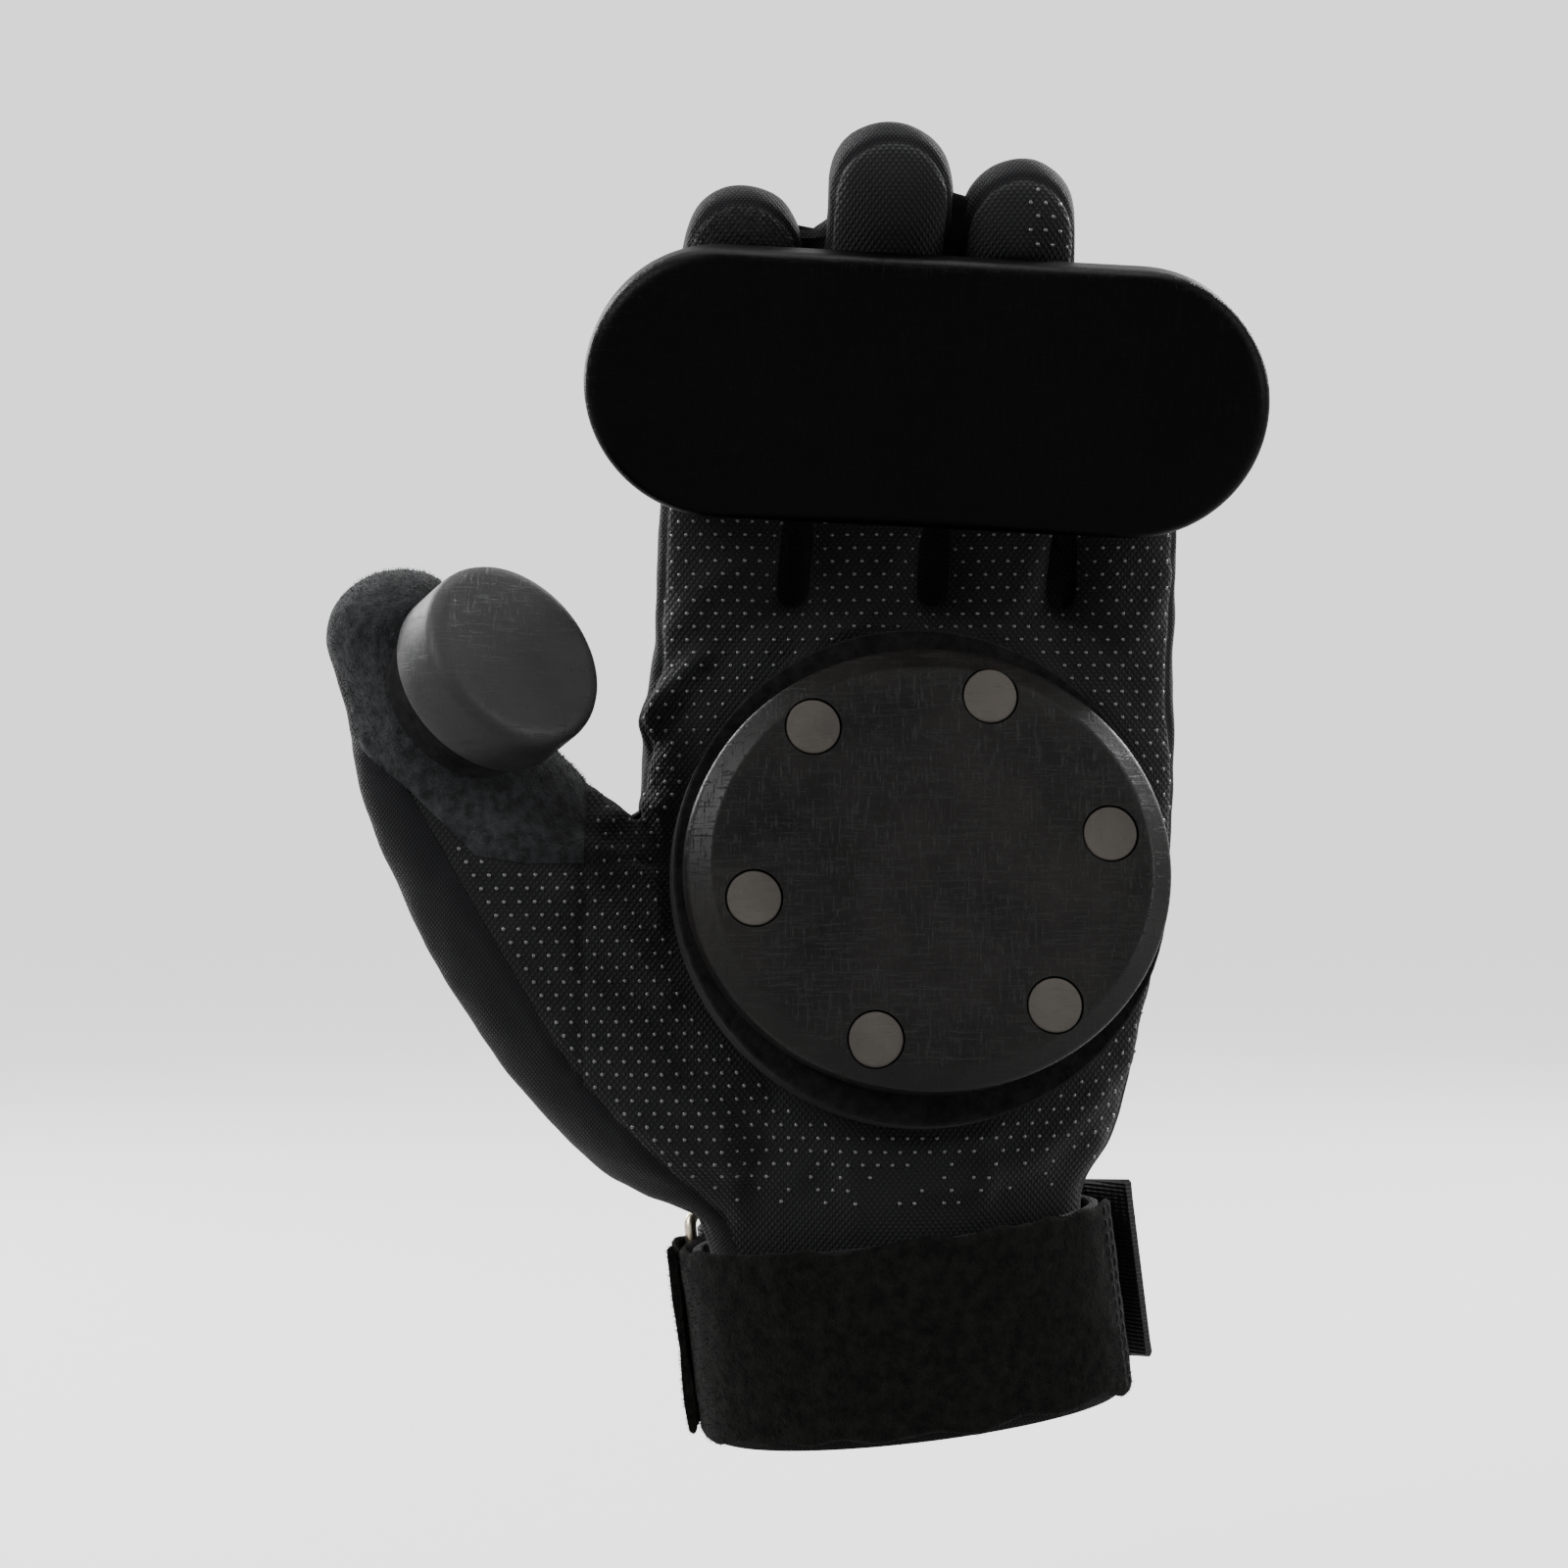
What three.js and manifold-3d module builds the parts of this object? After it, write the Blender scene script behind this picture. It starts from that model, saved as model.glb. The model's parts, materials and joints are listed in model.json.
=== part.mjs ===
// A longboard slide glove for the left hand, worn shape, millimetres, +Z up to the fingertips.
// The palm faces -Y, the thumb is at -X, and the origin is the centre of the wrist opening.

import * as THREE from 'three';
import { mergeVertices } from 'three/addons/utils/BufferGeometryUtils.js';
import Module from 'manifold-3d';

const wasm = await Module();
wasm.setup();

// Driving sizes of the sewn hand
const PALM_LENGTH = 157;
const PALM_WIDTH = 103;
const PALM_DEPTH = 44;
const CLOTH = 1.8;
const SEAM = 0.3;
const GUSSET_WIDTH = 12;
const FINGER_LENGTH = 90;
const FINGER_WIDTH = 26.6;
const FINGER_FRONT = 11.5;
const FINGER_BACK = 11;
const FINGER_LEAN = 16;
const FINGER_BEND_AT = 62;
const WEB_OVERLAP = 3;
const ROOT_FORWARD = 3;
const ROOT_BLEND = 23;
const TIP_LEAN = 30;
const FINGERTIP = 13;
const THUMB_OUT = 102;
const THUMB_UP = 151;
const THUMB_FORWARD = 20;
const THUMB_WIDTH = 30;
const THUMB_DEPTH = 27;
const THUMBTIP = 11;

// Driving sizes of the wrist
const WRIST_WIDTH = 73;
const WRIST_DEPTH = 49;
const WRIST_LEAN = 7;
const CUFF_HEIGHT = 37;
const CUFF_PADDING = 3;
const BAND_HEIGHT = 36;
const BAND_RAISE = 1.5;
const BAND_START = 350;
const STRAP_HEIGHT = 35;
const STRAP_THICKNESS = 2;
const STRAP_RAISE = 4;
const STRAP_SEWN = 25;
const STRAP_LEAVES = 35;
const STRAP_END = 15.5;
const RING_WIRE = 2.4;
const RING_SPAN = 9;
const RING_TURN = 150;
const LEG_CLEAR = 7;

// Driving sizes of the hard pieces and the trim
const GAP = 0.3;
const PALM_PUCK = 90;
const PALM_PUCK_HEIGHT = 82;
const PALM_PUCK_SIDE = -3.4;
const PALM_PUCK_UP = 100.5;
const PALM_PUCK_THICKNESS = 11;
const PALM_PUCK_PITCH = 10;
const PALM_PUCK_YAW = 7;
const PALM_PAD_RIM = 1.5;
const PALM_PAD_THICKNESS = 9;
const PAD_MINIMUM = 1.2;
const STUDS = 6;
const STUD_FIRST = 10;
const STUD = 10;
const STUD_CIRCLE = 67;
const STUD_DEPTH = 2;
const BAR_LENGTH = 125;
const BAR_WIDTH = 49;
const BAR_THICKNESS = 12;
const BAR_ROLL = 3;
const THUMB_PUCK = 37;
const THUMB_PUCK_THICKNESS = 12.5;
const THUMB_PAD = 32;
const THUMB_PAD_THICKNESS = 7;
const THUMB_PUCK_UP = 11.5;
const THUMB_PUCK_TURN = 6;
const THUMB_PUCK_TILT = 9;
const PUCK_EDGE = 2.4;
const PLATE_WIDTH = 90;
const PLATE_HEIGHT = 86;
const PLATE_THICKNESS = 2;
const PLATE_SIDE = -3;
const PLATE_UP = 104.5;
const SHELL_WIDTH = 80;
const SHELL_HEIGHT = 38;
const SHELL_RISE = 8;
const SHELL_RIM = 1.6;
const SHELL_SIDE = 2;
const SHELL_UP = 2.6;
const INLAY = 0.8;
const GUARD_WIDTH = 19;
const GUARD_LENGTH = 28;
const GUARD_RIM = 3.2;
const GUARD_THICKNESS = 1.8;
const DOME_RISE = 7;
const DOME_SINK = 2.2;
const BADGE_WIDTH = 18;
const BADGE_LENGTH = 26;
const BADGE_THICKNESS = 1.6;
const DOT_RISE = 1;

// Counts of sides that make round things round
const PALM_SIDES = 18;
const FINGER_SIDES = 10;
const THUMB_SIDES = 12;
const PUCK_SIDES = 28;
const STUD_SIDES = 12;
const WRIST_SIDES = 30;
const RING_STEPS = 20;
const REACH = 400;

// Palm sections: along in shares of PALM_LENGTH, side and half in PALM_WIDTH, front and back in PALM_DEPTH
const PALM_SECTIONS = [
  { along: 0.35, side: -0.06, half: 0.425, front: 0.59, back: 0.46, forward: 0.0, power: 2.3 },
  { along: 0.51, side: -0.05, half: 0.47, front: 0.57, back: 0.41, forward: 0.0, power: 2.5 },
  { along: 0.66, side: -0.03, half: 0.495, front: 0.51, back: 0.385, forward: 0.0, power: 2.6 },
  { along: 0.81, side: -0.02, half: 0.50, front: 0.44, back: 0.37, forward: 0.0, power: 2.6 },
  { along: 0.92, side: -0.012, half: 0.49, front: 0.36, back: 0.345, forward: 0.02, power: 2.6 },
  { along: 0.97, side: -0.01, half: 0.475, front: 0.30, back: 0.29, forward: 0.04, power: 2.6 },
  { along: 1.0, side: -0.01, half: 0.445, front: 0.19, back: 0.19, forward: 0.05, power: 2.6 },
];

// Fingers: base and tip in shares of PALM_WIDTH, length of FINGER_LENGTH, width of FINGER_WIDTH
const FINGERS = [
  { name: 'index', base: -0.37, tip: -0.31, length: 0.87, width: 1.0, bend: 1, guard: 0.14, badge: 0.6 },
  { name: 'middle', base: -0.108, tip: -0.065, length: 0.985, width: 1, bend: 1, guard: 0.18, badge: 0.665 },
  { name: 'ring', base: 0.14, tip: 0.175, length: 0.915, width: 0.94, bend: 1, guard: 0.11, badge: 0.59 },
  { name: 'pinky', base: 0.374, tip: 0.36, length: 0.69, width: 0.845, bend: 0, guard: 0.06, badge: 0.385 },
];

// Finger sections below the tip: along in shares of the straight stretch, width in shares of the finger's
const FINGER_SECTIONS = [
  { along: -0.4, width: 0.9 },
  { along: 0.0, width: 0.97 },
  { along: 0.5, width: 1.0 },
  { along: 1.0, width: 0.96 },
];

// Thumb sections: out, up and forward in shares of the thumb's reach, width and depths in its own sizes
const THUMB_SECTIONS = [
  { out: 0.3, forward: 0.1, up: 0.33, width: 1.1, front: 0.6, back: 0.5, turn: 5 },
  { out: 0.42, forward: 0.4, up: 0.44, width: 1.73, front: 0.76, back: 0.6, turn: 15 },
  { out: 0.67, forward: 0.6, up: 0.63, width: 1.7, front: 0.63, back: 0.54, turn: 30 },
  { out: 0.86, forward: 0.8, up: 0.81, width: 1.32, front: 0.52, back: 0.48, turn: 43 },
  { out: 0.935, forward: 0.94, up: 0.935, width: 1.0, front: 0.46, back: 0.42, turn: 48 },
  { out: 0.975, forward: 1.0, up: 1.0, width: 0.92, front: 0.43, back: 0.4, turn: 48 },
];

// Rounded end of a finger: how far round the quarter circle each ring stands, in degrees
const TIP_RINGS = [32, 58, 78];

// Zones of the thumb seen from the palm: x in shares of THUMB_OUT, z in shares of THUMB_UP
const THUMB_ZONE = [
  { out: 1.3, up: 1.3 }, { out: 0.62, up: 1.3 }, { out: 0.62, up: 0.74 }, { out: 0.62, up: 0.44 },
  { out: 0.365, up: 0.26 }, { out: 0.33, up: 0.2 }, { out: 0.28, up: -0.2 }, { out: 1.3, up: -0.2 },
];
const GRIP_WEDGE = [
  { out: 0.6, up: 0.44 }, { out: 0.64, up: 0.46 }, { out: 0.76, up: 0.6 }, { out: 0.93, up: 0.8 },
  { out: 0.81, up: 0.72 }, { out: 0.72, up: 0.71 }, { out: 0.6, up: 0.71 },
];
const FLEECE_ZONE = [
  { out: 1.3, up: 1.3 }, { out: 0.5, up: 1.3 }, { out: 0.5, up: 0.71 }, { out: 0.72, up: 0.71 },
  { out: 0.81, up: 0.72 }, { out: 0.93, up: 0.8 }, { out: 1.3, up: 1.0 },
];

// Knuckle plate, clockwise from its left corner: x in shares of PLATE_WIDTH, z of PLATE_HEIGHT
const PLATE_OUTLINE = [
  { x: -0.5, z: -0.01 }, { x: -0.44, z: 0.26 }, { x: -0.325, z: 0.45 }, { x: -0.23, z: 0.42 },
  { x: -0.18, z: 0.36 }, { x: -0.13, z: 0.44 }, { x: -0.05, z: 0.5 }, { x: 0.03, z: 0.46 },
  { x: 0.09, z: 0.36 }, { x: 0.14, z: 0.44 }, { x: 0.22, z: 0.49 }, { x: 0.29, z: 0.43 },
  { x: 0.34, z: 0.33 }, { x: 0.42, z: 0.4 }, { x: 0.48, z: 0.26 }, { x: 0.5, z: 0.03 },
  { x: 0.46, z: -0.12 }, { x: 0.4, z: -0.34 }, { x: 0.33, z: -0.46 }, { x: 0.22, z: -0.5 },
  { x: 0.04, z: -0.43 }, { x: -0.16, z: -0.47 }, { x: -0.33, z: -0.43 }, { x: -0.44, z: -0.3 },
];

// White inlays on the plate's lobes: centre and half width in shares of PLATE_WIDTH and PLATE_HEIGHT,
// and the arc that each one draws in shares of its own half width
const CRESCENT_ARC = { left: -0.35, top: 1.3, right: -0.25, bottom: 0.15 };
const CRESCENTS = [
  { name: 'crescent_index', x: -0.335, z: 0.335, half: 0.062 },
  { name: 'crescent_middle', x: -0.06, z: 0.395, half: 0.072 },
  { name: 'crescent_ring', x: 0.215, z: 0.385, half: 0.06 },
  { name: 'crescent_pinky', x: 0.405, z: 0.295, half: 0.042 },
];

// Knuckle shell bulges: centre and half width in shares of SHELL_WIDTH
const BULGES = [
  { x: -0.355, half: 0.15 },
  { x: -0.09, half: 0.17 },
  { x: 0.17, half: 0.145 },
  { x: 0.385, half: 0.12 },
];
const BULGE_OVERLAP = 1.12;
const BULGE_HEIGHT = 0.43;

// White wave under the shell: its upper edge from left to right, then its lower edge back
const WAVE = [
  { x: -0.37, z: -0.26 }, { x: -0.29, z: -0.36 }, { x: -0.2, z: -0.395 }, { x: -0.08, z: -0.35 },
  { x: 0.05, z: -0.31 }, { x: 0.16, z: -0.36 }, { x: 0.25, z: -0.4 }, { x: 0.33, z: -0.36 },
  { x: 0.39, z: -0.28 }, { x: 0.35, z: -0.39 }, { x: 0.25, z: -0.455 }, { x: 0.14, z: -0.41 },
  { x: 0.05, z: -0.35 }, { x: -0.08, z: -0.4 }, { x: -0.2, z: -0.44 }, { x: -0.3, z: -0.4 },
];

// A badge, clockwise from its tip: x in shares of its width, z in shares of BADGE_LENGTH
const BADGE_OUTLINE = [
  { x: -0.06, z: 0.5 }, { x: 0.1, z: 0.46 }, { x: 0.36, z: 0.12 }, { x: 0.5, z: -0.4 },
  { x: 0.26, z: -0.36 }, { x: 0, z: -0.5 }, { x: -0.26, z: -0.36 }, { x: -0.5, z: -0.4 },
  { x: -0.38, z: 0.12 }, { x: -0.2, z: 0.44 },
];

// Badge dots: place along the badge and radius, in shares of BADGE_LENGTH and BADGE_WIDTH
const DOTS = [
  { along: 0.2, radius: 0.085 },
  { along: 0.02, radius: 0.11 },
  { along: -0.2, radius: 0.15 },
];

const radians = THREE.MathUtils.degToRad;
const glove = new THREE.Group();

function addPiece(name, geometry, colour, roughness, metalness) {
  const material = new THREE.MeshStandardMaterial({ color: colour, roughness, metalness });
  const mesh = new THREE.Mesh(geometry, material);
  mesh.name = name;
  glove.add(mesh);
  return mesh;
}

// Booleans: a closed geometry becomes a solid, and a solid becomes a geometry again
function solidOf(geometry) {
  geometry.deleteAttribute('normal');
  geometry.deleteAttribute('uv');
  const merged = mergeVertices(geometry, 1e-4);
  return new wasm.Manifold(new wasm.Mesh({
    numProp: 3,
    vertProperties: Float32Array.from(merged.attributes.position.array),
    triVerts: Uint32Array.from(merged.index.array),
  }));
}

function geometryOf(solid) {
  const mesh = solid.getMesh();
  const geometry = new THREE.BufferGeometry();
  geometry.setAttribute('position', new THREE.Float32BufferAttribute(mesh.vertProperties, 3));
  geometry.setIndex(Array.from(mesh.triVerts));
  geometry.computeVertexNormals();
  return geometry;
}

function union(solids) {
  return solids.reduce((joined, solid) => joined.add(solid));
}

function signedPower(value, power) {
  return Math.sign(value) * Math.abs(value) ** power;
}

// A closed loft: a cylinder whose rings are moved onto sections along a spine
function loft(sections, sides) {
  const rows = sections.length - 1;
  const geometry = new THREE.CylinderGeometry(1, 1, rows, sides, rows);
  const position = geometry.attributes.position;
  const point = new THREE.Vector3();
  for (let i = 0; i < position.count; i += 1) {
    const section = sections[Math.round(position.getY(i) + rows / 2)];
    const radius = Math.min(1, Math.hypot(position.getX(i), position.getZ(i)));
    const angle = Math.atan2(position.getX(i), position.getZ(i));
    const across = radius * section.half * signedPower(Math.sin(angle), 2 / section.power);
    const reach = Math.cos(angle) > 0 ? section.front : section.back;
    const depth = radius * reach * signedPower(Math.cos(angle), 2 / section.power);
    point.copy(section.centre);
    point.addScaledVector(section.across, across);
    point.addScaledVector(section.palmar, depth);
    position.setXYZ(i, point.x, point.y, point.z);
  }
  return solidOf(geometry);
}

// A section square to the direction that the spine runs in
function sectionAt(centre, direction, palmarTurn, size) {
  const spine = direction.clone().normalize();
  const palmar = new THREE.Vector3(0, -1, 0);
  palmar.addScaledVector(spine, -palmar.dot(spine));
  palmar.normalize();
  palmar.applyAxisAngle(spine, radians(palmarTurn));
  const across = new THREE.Vector3().crossVectors(spine, palmar);
  return { centre, across, palmar, spine, ...size };
}

// The rounded end that closes a finger, past its last section
function tipRings(last, length) {
  return TIP_RINGS.map((degrees) => {
    const shrink = Math.cos(radians(degrees));
    const centre = last.centre.clone();
    centre.addScaledVector(last.spine, length * Math.sin(radians(degrees)));
    return {
      ...last,
      centre,
      half: last.half * shrink,
      front: last.front * shrink,
      back: last.back * shrink,
    };
  });
}

const wristAxis = new THREE.Vector3(-Math.sin(radians(WRIST_LEAN)), 0, Math.cos(radians(WRIST_LEAN)));

// The hand's outer form grown by an offset. Below zero it is the hollow, which runs out past the wrist.
function palmForm(offset) {
  const hollow = offset < 0;
  const wristStations = [hollow ? -CUFF_PADDING : CUFF_PADDING, CUFF_HEIGHT + CUFF_PADDING / 2];
  const wrist = wristStations.map((along) => sectionAt(
    wristAxis.clone().multiplyScalar(along), wristAxis, 0,
    {
      half: WRIST_WIDTH / 2 + offset,
      front: WRIST_DEPTH / 2 + offset,
      back: WRIST_DEPTH / 2 + offset,
      power: 2,
    },
  ));
  const palm = PALM_SECTIONS.map((row) => sectionAt(
    new THREE.Vector3(row.side * PALM_WIDTH, -row.forward * PALM_DEPTH, row.along * PALM_LENGTH),
    new THREE.Vector3(0, 0, 1), 0,
    {
      half: row.half * PALM_WIDTH + offset,
      front: row.front * PALM_DEPTH + offset,
      back: row.back * PALM_DEPTH + offset,
      power: row.power,
    },
  ));
  palm[palm.length - 1].centre.z += offset;
  return loft([...wrist, ...palm], PALM_SIDES);
}

// Fingers leave the palm leaning forward by FINGER_LEAN and bend once more near the tip
const fingerRoot = PALM_LENGTH - WEB_OVERLAP;
const barPlace = fingerRoot + FINGER_LENGTH / 2;
const thumbMiddle = THUMB_SECTIONS.length / 2;
const rootStart = fingerRoot - ROOT_BLEND;
const straightTop = fingerRoot + FINGER_BEND_AT;

function fingerLine(z) {
  const straight = Math.min(z, straightTop) - fingerRoot;
  const bent = Math.max(z - straightTop, 0);
  const root = THREE.MathUtils.clamp((z - rootStart) / ROOT_BLEND, 0, 1);
  if (z < fingerRoot) {
    return -ROOT_FORWARD * root;
  }
  return -ROOT_FORWARD - straight * Math.tan(radians(FINGER_LEAN)) - bent * Math.tan(radians(TIP_LEAN));
}

function fingerX(finger, z) {
  const share = (z - fingerRoot) / (FINGER_LENGTH * finger.length);
  return PALM_WIDTH * THREE.MathUtils.lerp(finger.base, finger.tip, Math.max(share, 0));
}

function fingerForm(finger, offset) {
  const width = FINGER_WIDTH * finger.width;
  const top = fingerRoot + FINGER_LENGTH * finger.length;
  const capBase = top - FINGERTIP * Math.cos(radians(TIP_LEAN));
  const straightEnd = Math.min(capBase, straightTop);
  const size = (share) => ({
    half: (width * share) / 2 + offset,
    front: FINGER_FRONT + offset,
    back: FINGER_BACK * Math.min(finger.width + 0.06, 1) + offset,
    power: 2.3,
  });
  const place = (z) => new THREE.Vector3(fingerX(finger, z), fingerLine(z), z);
  const sideLean = (PALM_WIDTH * (finger.tip - finger.base)) / (FINGER_LENGTH * finger.length);
  const directionAt = (lean) => new THREE.Vector3(sideLean, -Math.tan(radians(lean)), 1);
  const rows = FINGER_SECTIONS.map((row) => {
    const z = fingerRoot + row.along * (straightEnd - fingerRoot);
    return sectionAt(place(z), directionAt(row.along < 0 ? 0 : FINGER_LEAN), 0, size(row.width));
  });
  const endLean = finger.bend ? TIP_LEAN : FINGER_LEAN;
  if (finger.bend) {
    rows.push(sectionAt(place(capBase), directionAt(endLean), 0, size(0.9)));
  }
  const last = rows[rows.length - 1];
  return loft([...rows, ...tipRings(last, FINGERTIP + offset)], FINGER_SIDES);
}

const thumbPoints = THUMB_SECTIONS.map((row) => new THREE.Vector3(
  -row.out * THUMB_OUT, -row.forward * THUMB_FORWARD, row.up * THUMB_UP,
));

function thumbSection(index, offset) {
  const row = THUMB_SECTIONS[index];
  const before = thumbPoints[Math.max(index - 1, 0)];
  const after = thumbPoints[Math.min(index + 1, thumbPoints.length - 1)];
  return sectionAt(thumbPoints[index].clone(), after.clone().sub(before), row.turn, {
    half: (row.width * THUMB_WIDTH) / 2 + offset,
    front: row.front * THUMB_DEPTH + offset,
    back: row.back * THUMB_DEPTH + offset,
    power: 2.2,
  });
}

function thumbForm(offset) {
  const rows = THUMB_SECTIONS.map((row, index) => thumbSection(index, offset));
  const last = rows[rows.length - 1];
  return loft([...rows, ...tipRings(last, THUMBTIP + offset)], THUMB_SIDES);
}

function handForm(offset) {
  const fingers = FINGERS.map((finger) => fingerForm(finger, offset));
  return union([palmForm(offset), thumbForm(offset), ...fingers]);
}

// A prism through the hand from front to back, whose outline is given in x and z
function prism(shape, yFrom, yTo) {
  const geometry = new THREE.ExtrudeGeometry(shape, {
    depth: yTo - yFrom,
    bevelEnabled: false,
    curveSegments: 6,
  });
  geometry.rotateX(Math.PI / 2);
  geometry.translate(0, yTo, 0);
  return solidOf(geometry);
}

// A prism across the hand from side to side, whose outline is given in y and z
function sideways(points) {
  const geometry = new THREE.ExtrudeGeometry(new THREE.Shape(points), { depth: REACH, bevelEnabled: false });
  geometry.translate(0, 0, -REACH / 2);
  geometry.applyMatrix4(new THREE.Matrix4().makeBasis(
    new THREE.Vector3(0, 1, 0), new THREE.Vector3(0, 0, 1), new THREE.Vector3(1, 0, 0),
  ));
  return solidOf(geometry);
}

// Everything in front of a surface that follows the fingers' middle, moved by a distance
function frontZone(distance) {
  const heights = [-REACH / 4, rootStart, fingerRoot, straightTop, REACH];
  const line = heights.map((z) => new THREE.Vector2(fingerLine(z) + distance, z));
  return sideways([new THREE.Vector2(-REACH, -REACH / 4), ...line, new THREE.Vector2(-REACH, REACH)]);
}

function outlineShape(rows, width, height, x, z) {
  return new THREE.Shape(rows.map((row) => new THREE.Vector2(x + row.x * width, z + row.z * height)));
}

// The half of space in front of the thumb's middle, moved forward by a distance
function thumbFrontZone(distance) {
  const section = thumbSection(thumbMiddle, 0);
  const geometry = new THREE.BoxGeometry(REACH, REACH, REACH);
  geometry.applyMatrix4(new THREE.Matrix4().makeBasis(section.across, section.spine, section.palmar));
  const centre = section.centre.clone().addScaledVector(section.palmar, REACH / 2 + distance);
  geometry.translate(centre.x, centre.y, centre.z);
  return solidOf(geometry);
}

// A zone drawn on the thumb, through the hand, grown outward by a distance
function thumbPrism(rows, grow) {
  const points = rows.map((row) => new THREE.Vector2(-row.out * THUMB_OUT, row.up * THUMB_UP));
  const outward = points.map((point, i) => {
    const along = points[(i + 1) % points.length].clone().sub(point).normalize();
    return new THREE.Vector2(-along.y, along.x);
  });
  const grown = points.map((point, i) => {
    const before = outward[(i + points.length - 1) % points.length];
    const mitre = before.clone().add(outward[i]);
    return point.clone().addScaledVector(mitre, grow / (1 + before.dot(outward[i])));
  });
  return prism(new THREE.Shape(grown), -REACH, REACH);
}

// The cloth of the hand, cut along its seams into panels
function addPanels() {
  const cloth = handForm(0).subtract(handForm(-CLOTH));
  const front = GUSSET_WIDTH / 2;
  const wedge = thumbPrism(GRIP_WEDGE, 0).intersect(thumbFrontZone(SEAM));
  const wedgeSeam = thumbPrism(GRIP_WEDGE, SEAM * 1.5).intersect(thumbFrontZone(0));
  const hand = cloth.subtract(thumbPrism(THUMB_ZONE, SEAM * 1.5));
  const thumb = cloth.intersect(thumbPrism(THUMB_ZONE, 0)).subtract(wedgeSeam);
  const palm = hand.intersect(frontZone(-front)).add(cloth.intersect(wedge));
  const strip = hand.intersect(frontZone(front - SEAM)).subtract(frontZone(SEAM - front));
  const fleece = thumbPrism(FLEECE_ZONE, 0).intersect(thumbFrontZone(SEAM));
  const fleeceSeam = thumbPrism(FLEECE_ZONE, SEAM).intersect(thumbFrontZone(0));
  addPiece('palm_panel', geometryOf(palm), 0x101012, 0.9, 0);
  addPiece('back_panel', geometryOf(hand.subtract(frontZone(front))), 0x0d1018, 0.9, 0);
  addPiece('side_gusset', geometryOf(strip.subtract(wedgeSeam)), 0x08080a, 0.92, 0);
  addPiece('thumb_side', geometryOf(thumb.subtract(fleeceSeam)), 0x0c0c0e, 0.92, 0);
  addPiece('thumb_front', geometryOf(thumb.intersect(fleece)), 0x121214, 0.95, 0);
}

// The wrist: pieces built upright round the origin, then leaned with the forearm
function leaned(geometry) {
  return geometry.rotateY(-radians(WRIST_LEAN));
}

function wristOval(grow, turn) {
  return new THREE.Vector2(
    (WRIST_WIDTH / 2 + grow) * Math.cos(radians(turn)),
    (WRIST_DEPTH / 2 + grow) * Math.sin(radians(turn)),
  );
}

// A strip of cloth seen from above, laid along a line of points
function stripShape(points, thickness) {
  const side = (sign) => points.map((point, i) => {
    const before = points[Math.max(i - 1, 0)];
    const after = points[Math.min(i + 1, points.length - 1)];
    const along = after.clone().sub(before).normalize();
    return new THREE.Vector2(
      point.x - (sign * along.y * thickness) / 2,
      point.y + (sign * along.x * thickness) / 2,
    );
  });
  return new THREE.Shape([...side(1), ...side(-1).reverse()]);
}

function upright(shape, bottom, height) {
  const geometry = new THREE.ExtrudeGeometry(shape, { depth: height, bevelEnabled: false });
  geometry.translate(0, 0, bottom);
  return leaned(geometry);
}

function arc(grow, from, to, steps) {
  return Array.from({ length: steps + 1 }, (_, i) => wristOval(grow, from + ((to - from) * i) / steps));
}

const cuffInner = GAP * 2;
const cuffOuter = cuffInner + CUFF_PADDING;
const innerLine = cuffOuter + GAP + STRAP_THICKNESS / 2;
const outerLine = innerLine + STRAP_THICKNESS + GAP;
const ringLine = innerLine + STRAP_THICKNESS / 2 + GAP + RING_WIRE / 2;
const ringHalfTurn = THREE.MathUtils.radToDeg(RING_SPAN / (WRIST_WIDTH + ringLine * 2));
const strapLeg = RING_TURN - ringHalfTurn;
const bandLeg = RING_TURN + ringHalfTurn;

// The padded roll round the opening, rounded at its foot
function addCuff() {
  const profile = [
    new THREE.Vector2(cuffInner, CUFF_HEIGHT),
    new THREE.Vector2(cuffInner, CUFF_PADDING / 3),
    new THREE.Vector2((cuffInner + cuffOuter) / 2, 0),
    new THREE.Vector2(cuffOuter, CUFF_PADDING / 2),
    new THREE.Vector2(cuffOuter, CUFF_HEIGHT),
    new THREE.Vector2(cuffInner, CUFF_HEIGHT),
  ];
  const geometry = new THREE.LatheGeometry(profile, WRIST_SIDES);
  geometry.rotateX(Math.PI / 2);
  const position = geometry.attributes.position;
  for (let i = 0; i < position.count; i += 1) {
    const turn = Math.atan2(position.getY(i), position.getX(i));
    const grow = Math.hypot(position.getX(i), position.getY(i));
    const point = wristOval(grow, THREE.MathUtils.radToDeg(turn));
    position.setXY(i, point.x, point.y);
  }
  addPiece('cuff', geometryOf(solidOf(leaned(geometry))), 0x0a0a0b, 0.9, 0);
}

// Half a turn of cloth round a leg of the ring, from the wrist side out. The sign is the side it bulges to.
function roundLeg(turn, sign) {
  const radius = RING_WIRE / 2 + GAP + STRAP_THICKNESS / 2;
  const centre = wristOval(ringLine, turn);
  const out = new THREE.Vector2(
    Math.cos(radians(turn)) * WRIST_DEPTH, Math.sin(radians(turn)) * WRIST_WIDTH,
  ).normalize();
  const along = new THREE.Vector2(-out.y, out.x).multiplyScalar(sign);
  const bend = [0, 45, 90, 135, 180].map((degrees) => centre.clone()
    .addScaledVector(out, -radius * Math.cos(radians(degrees)))
    .addScaledVector(along, radius * Math.sin(radians(degrees))));
  const past = bend[bend.length - 1].clone().addScaledVector(along, -RING_WIRE);
  return [...bend, past];
}

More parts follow.
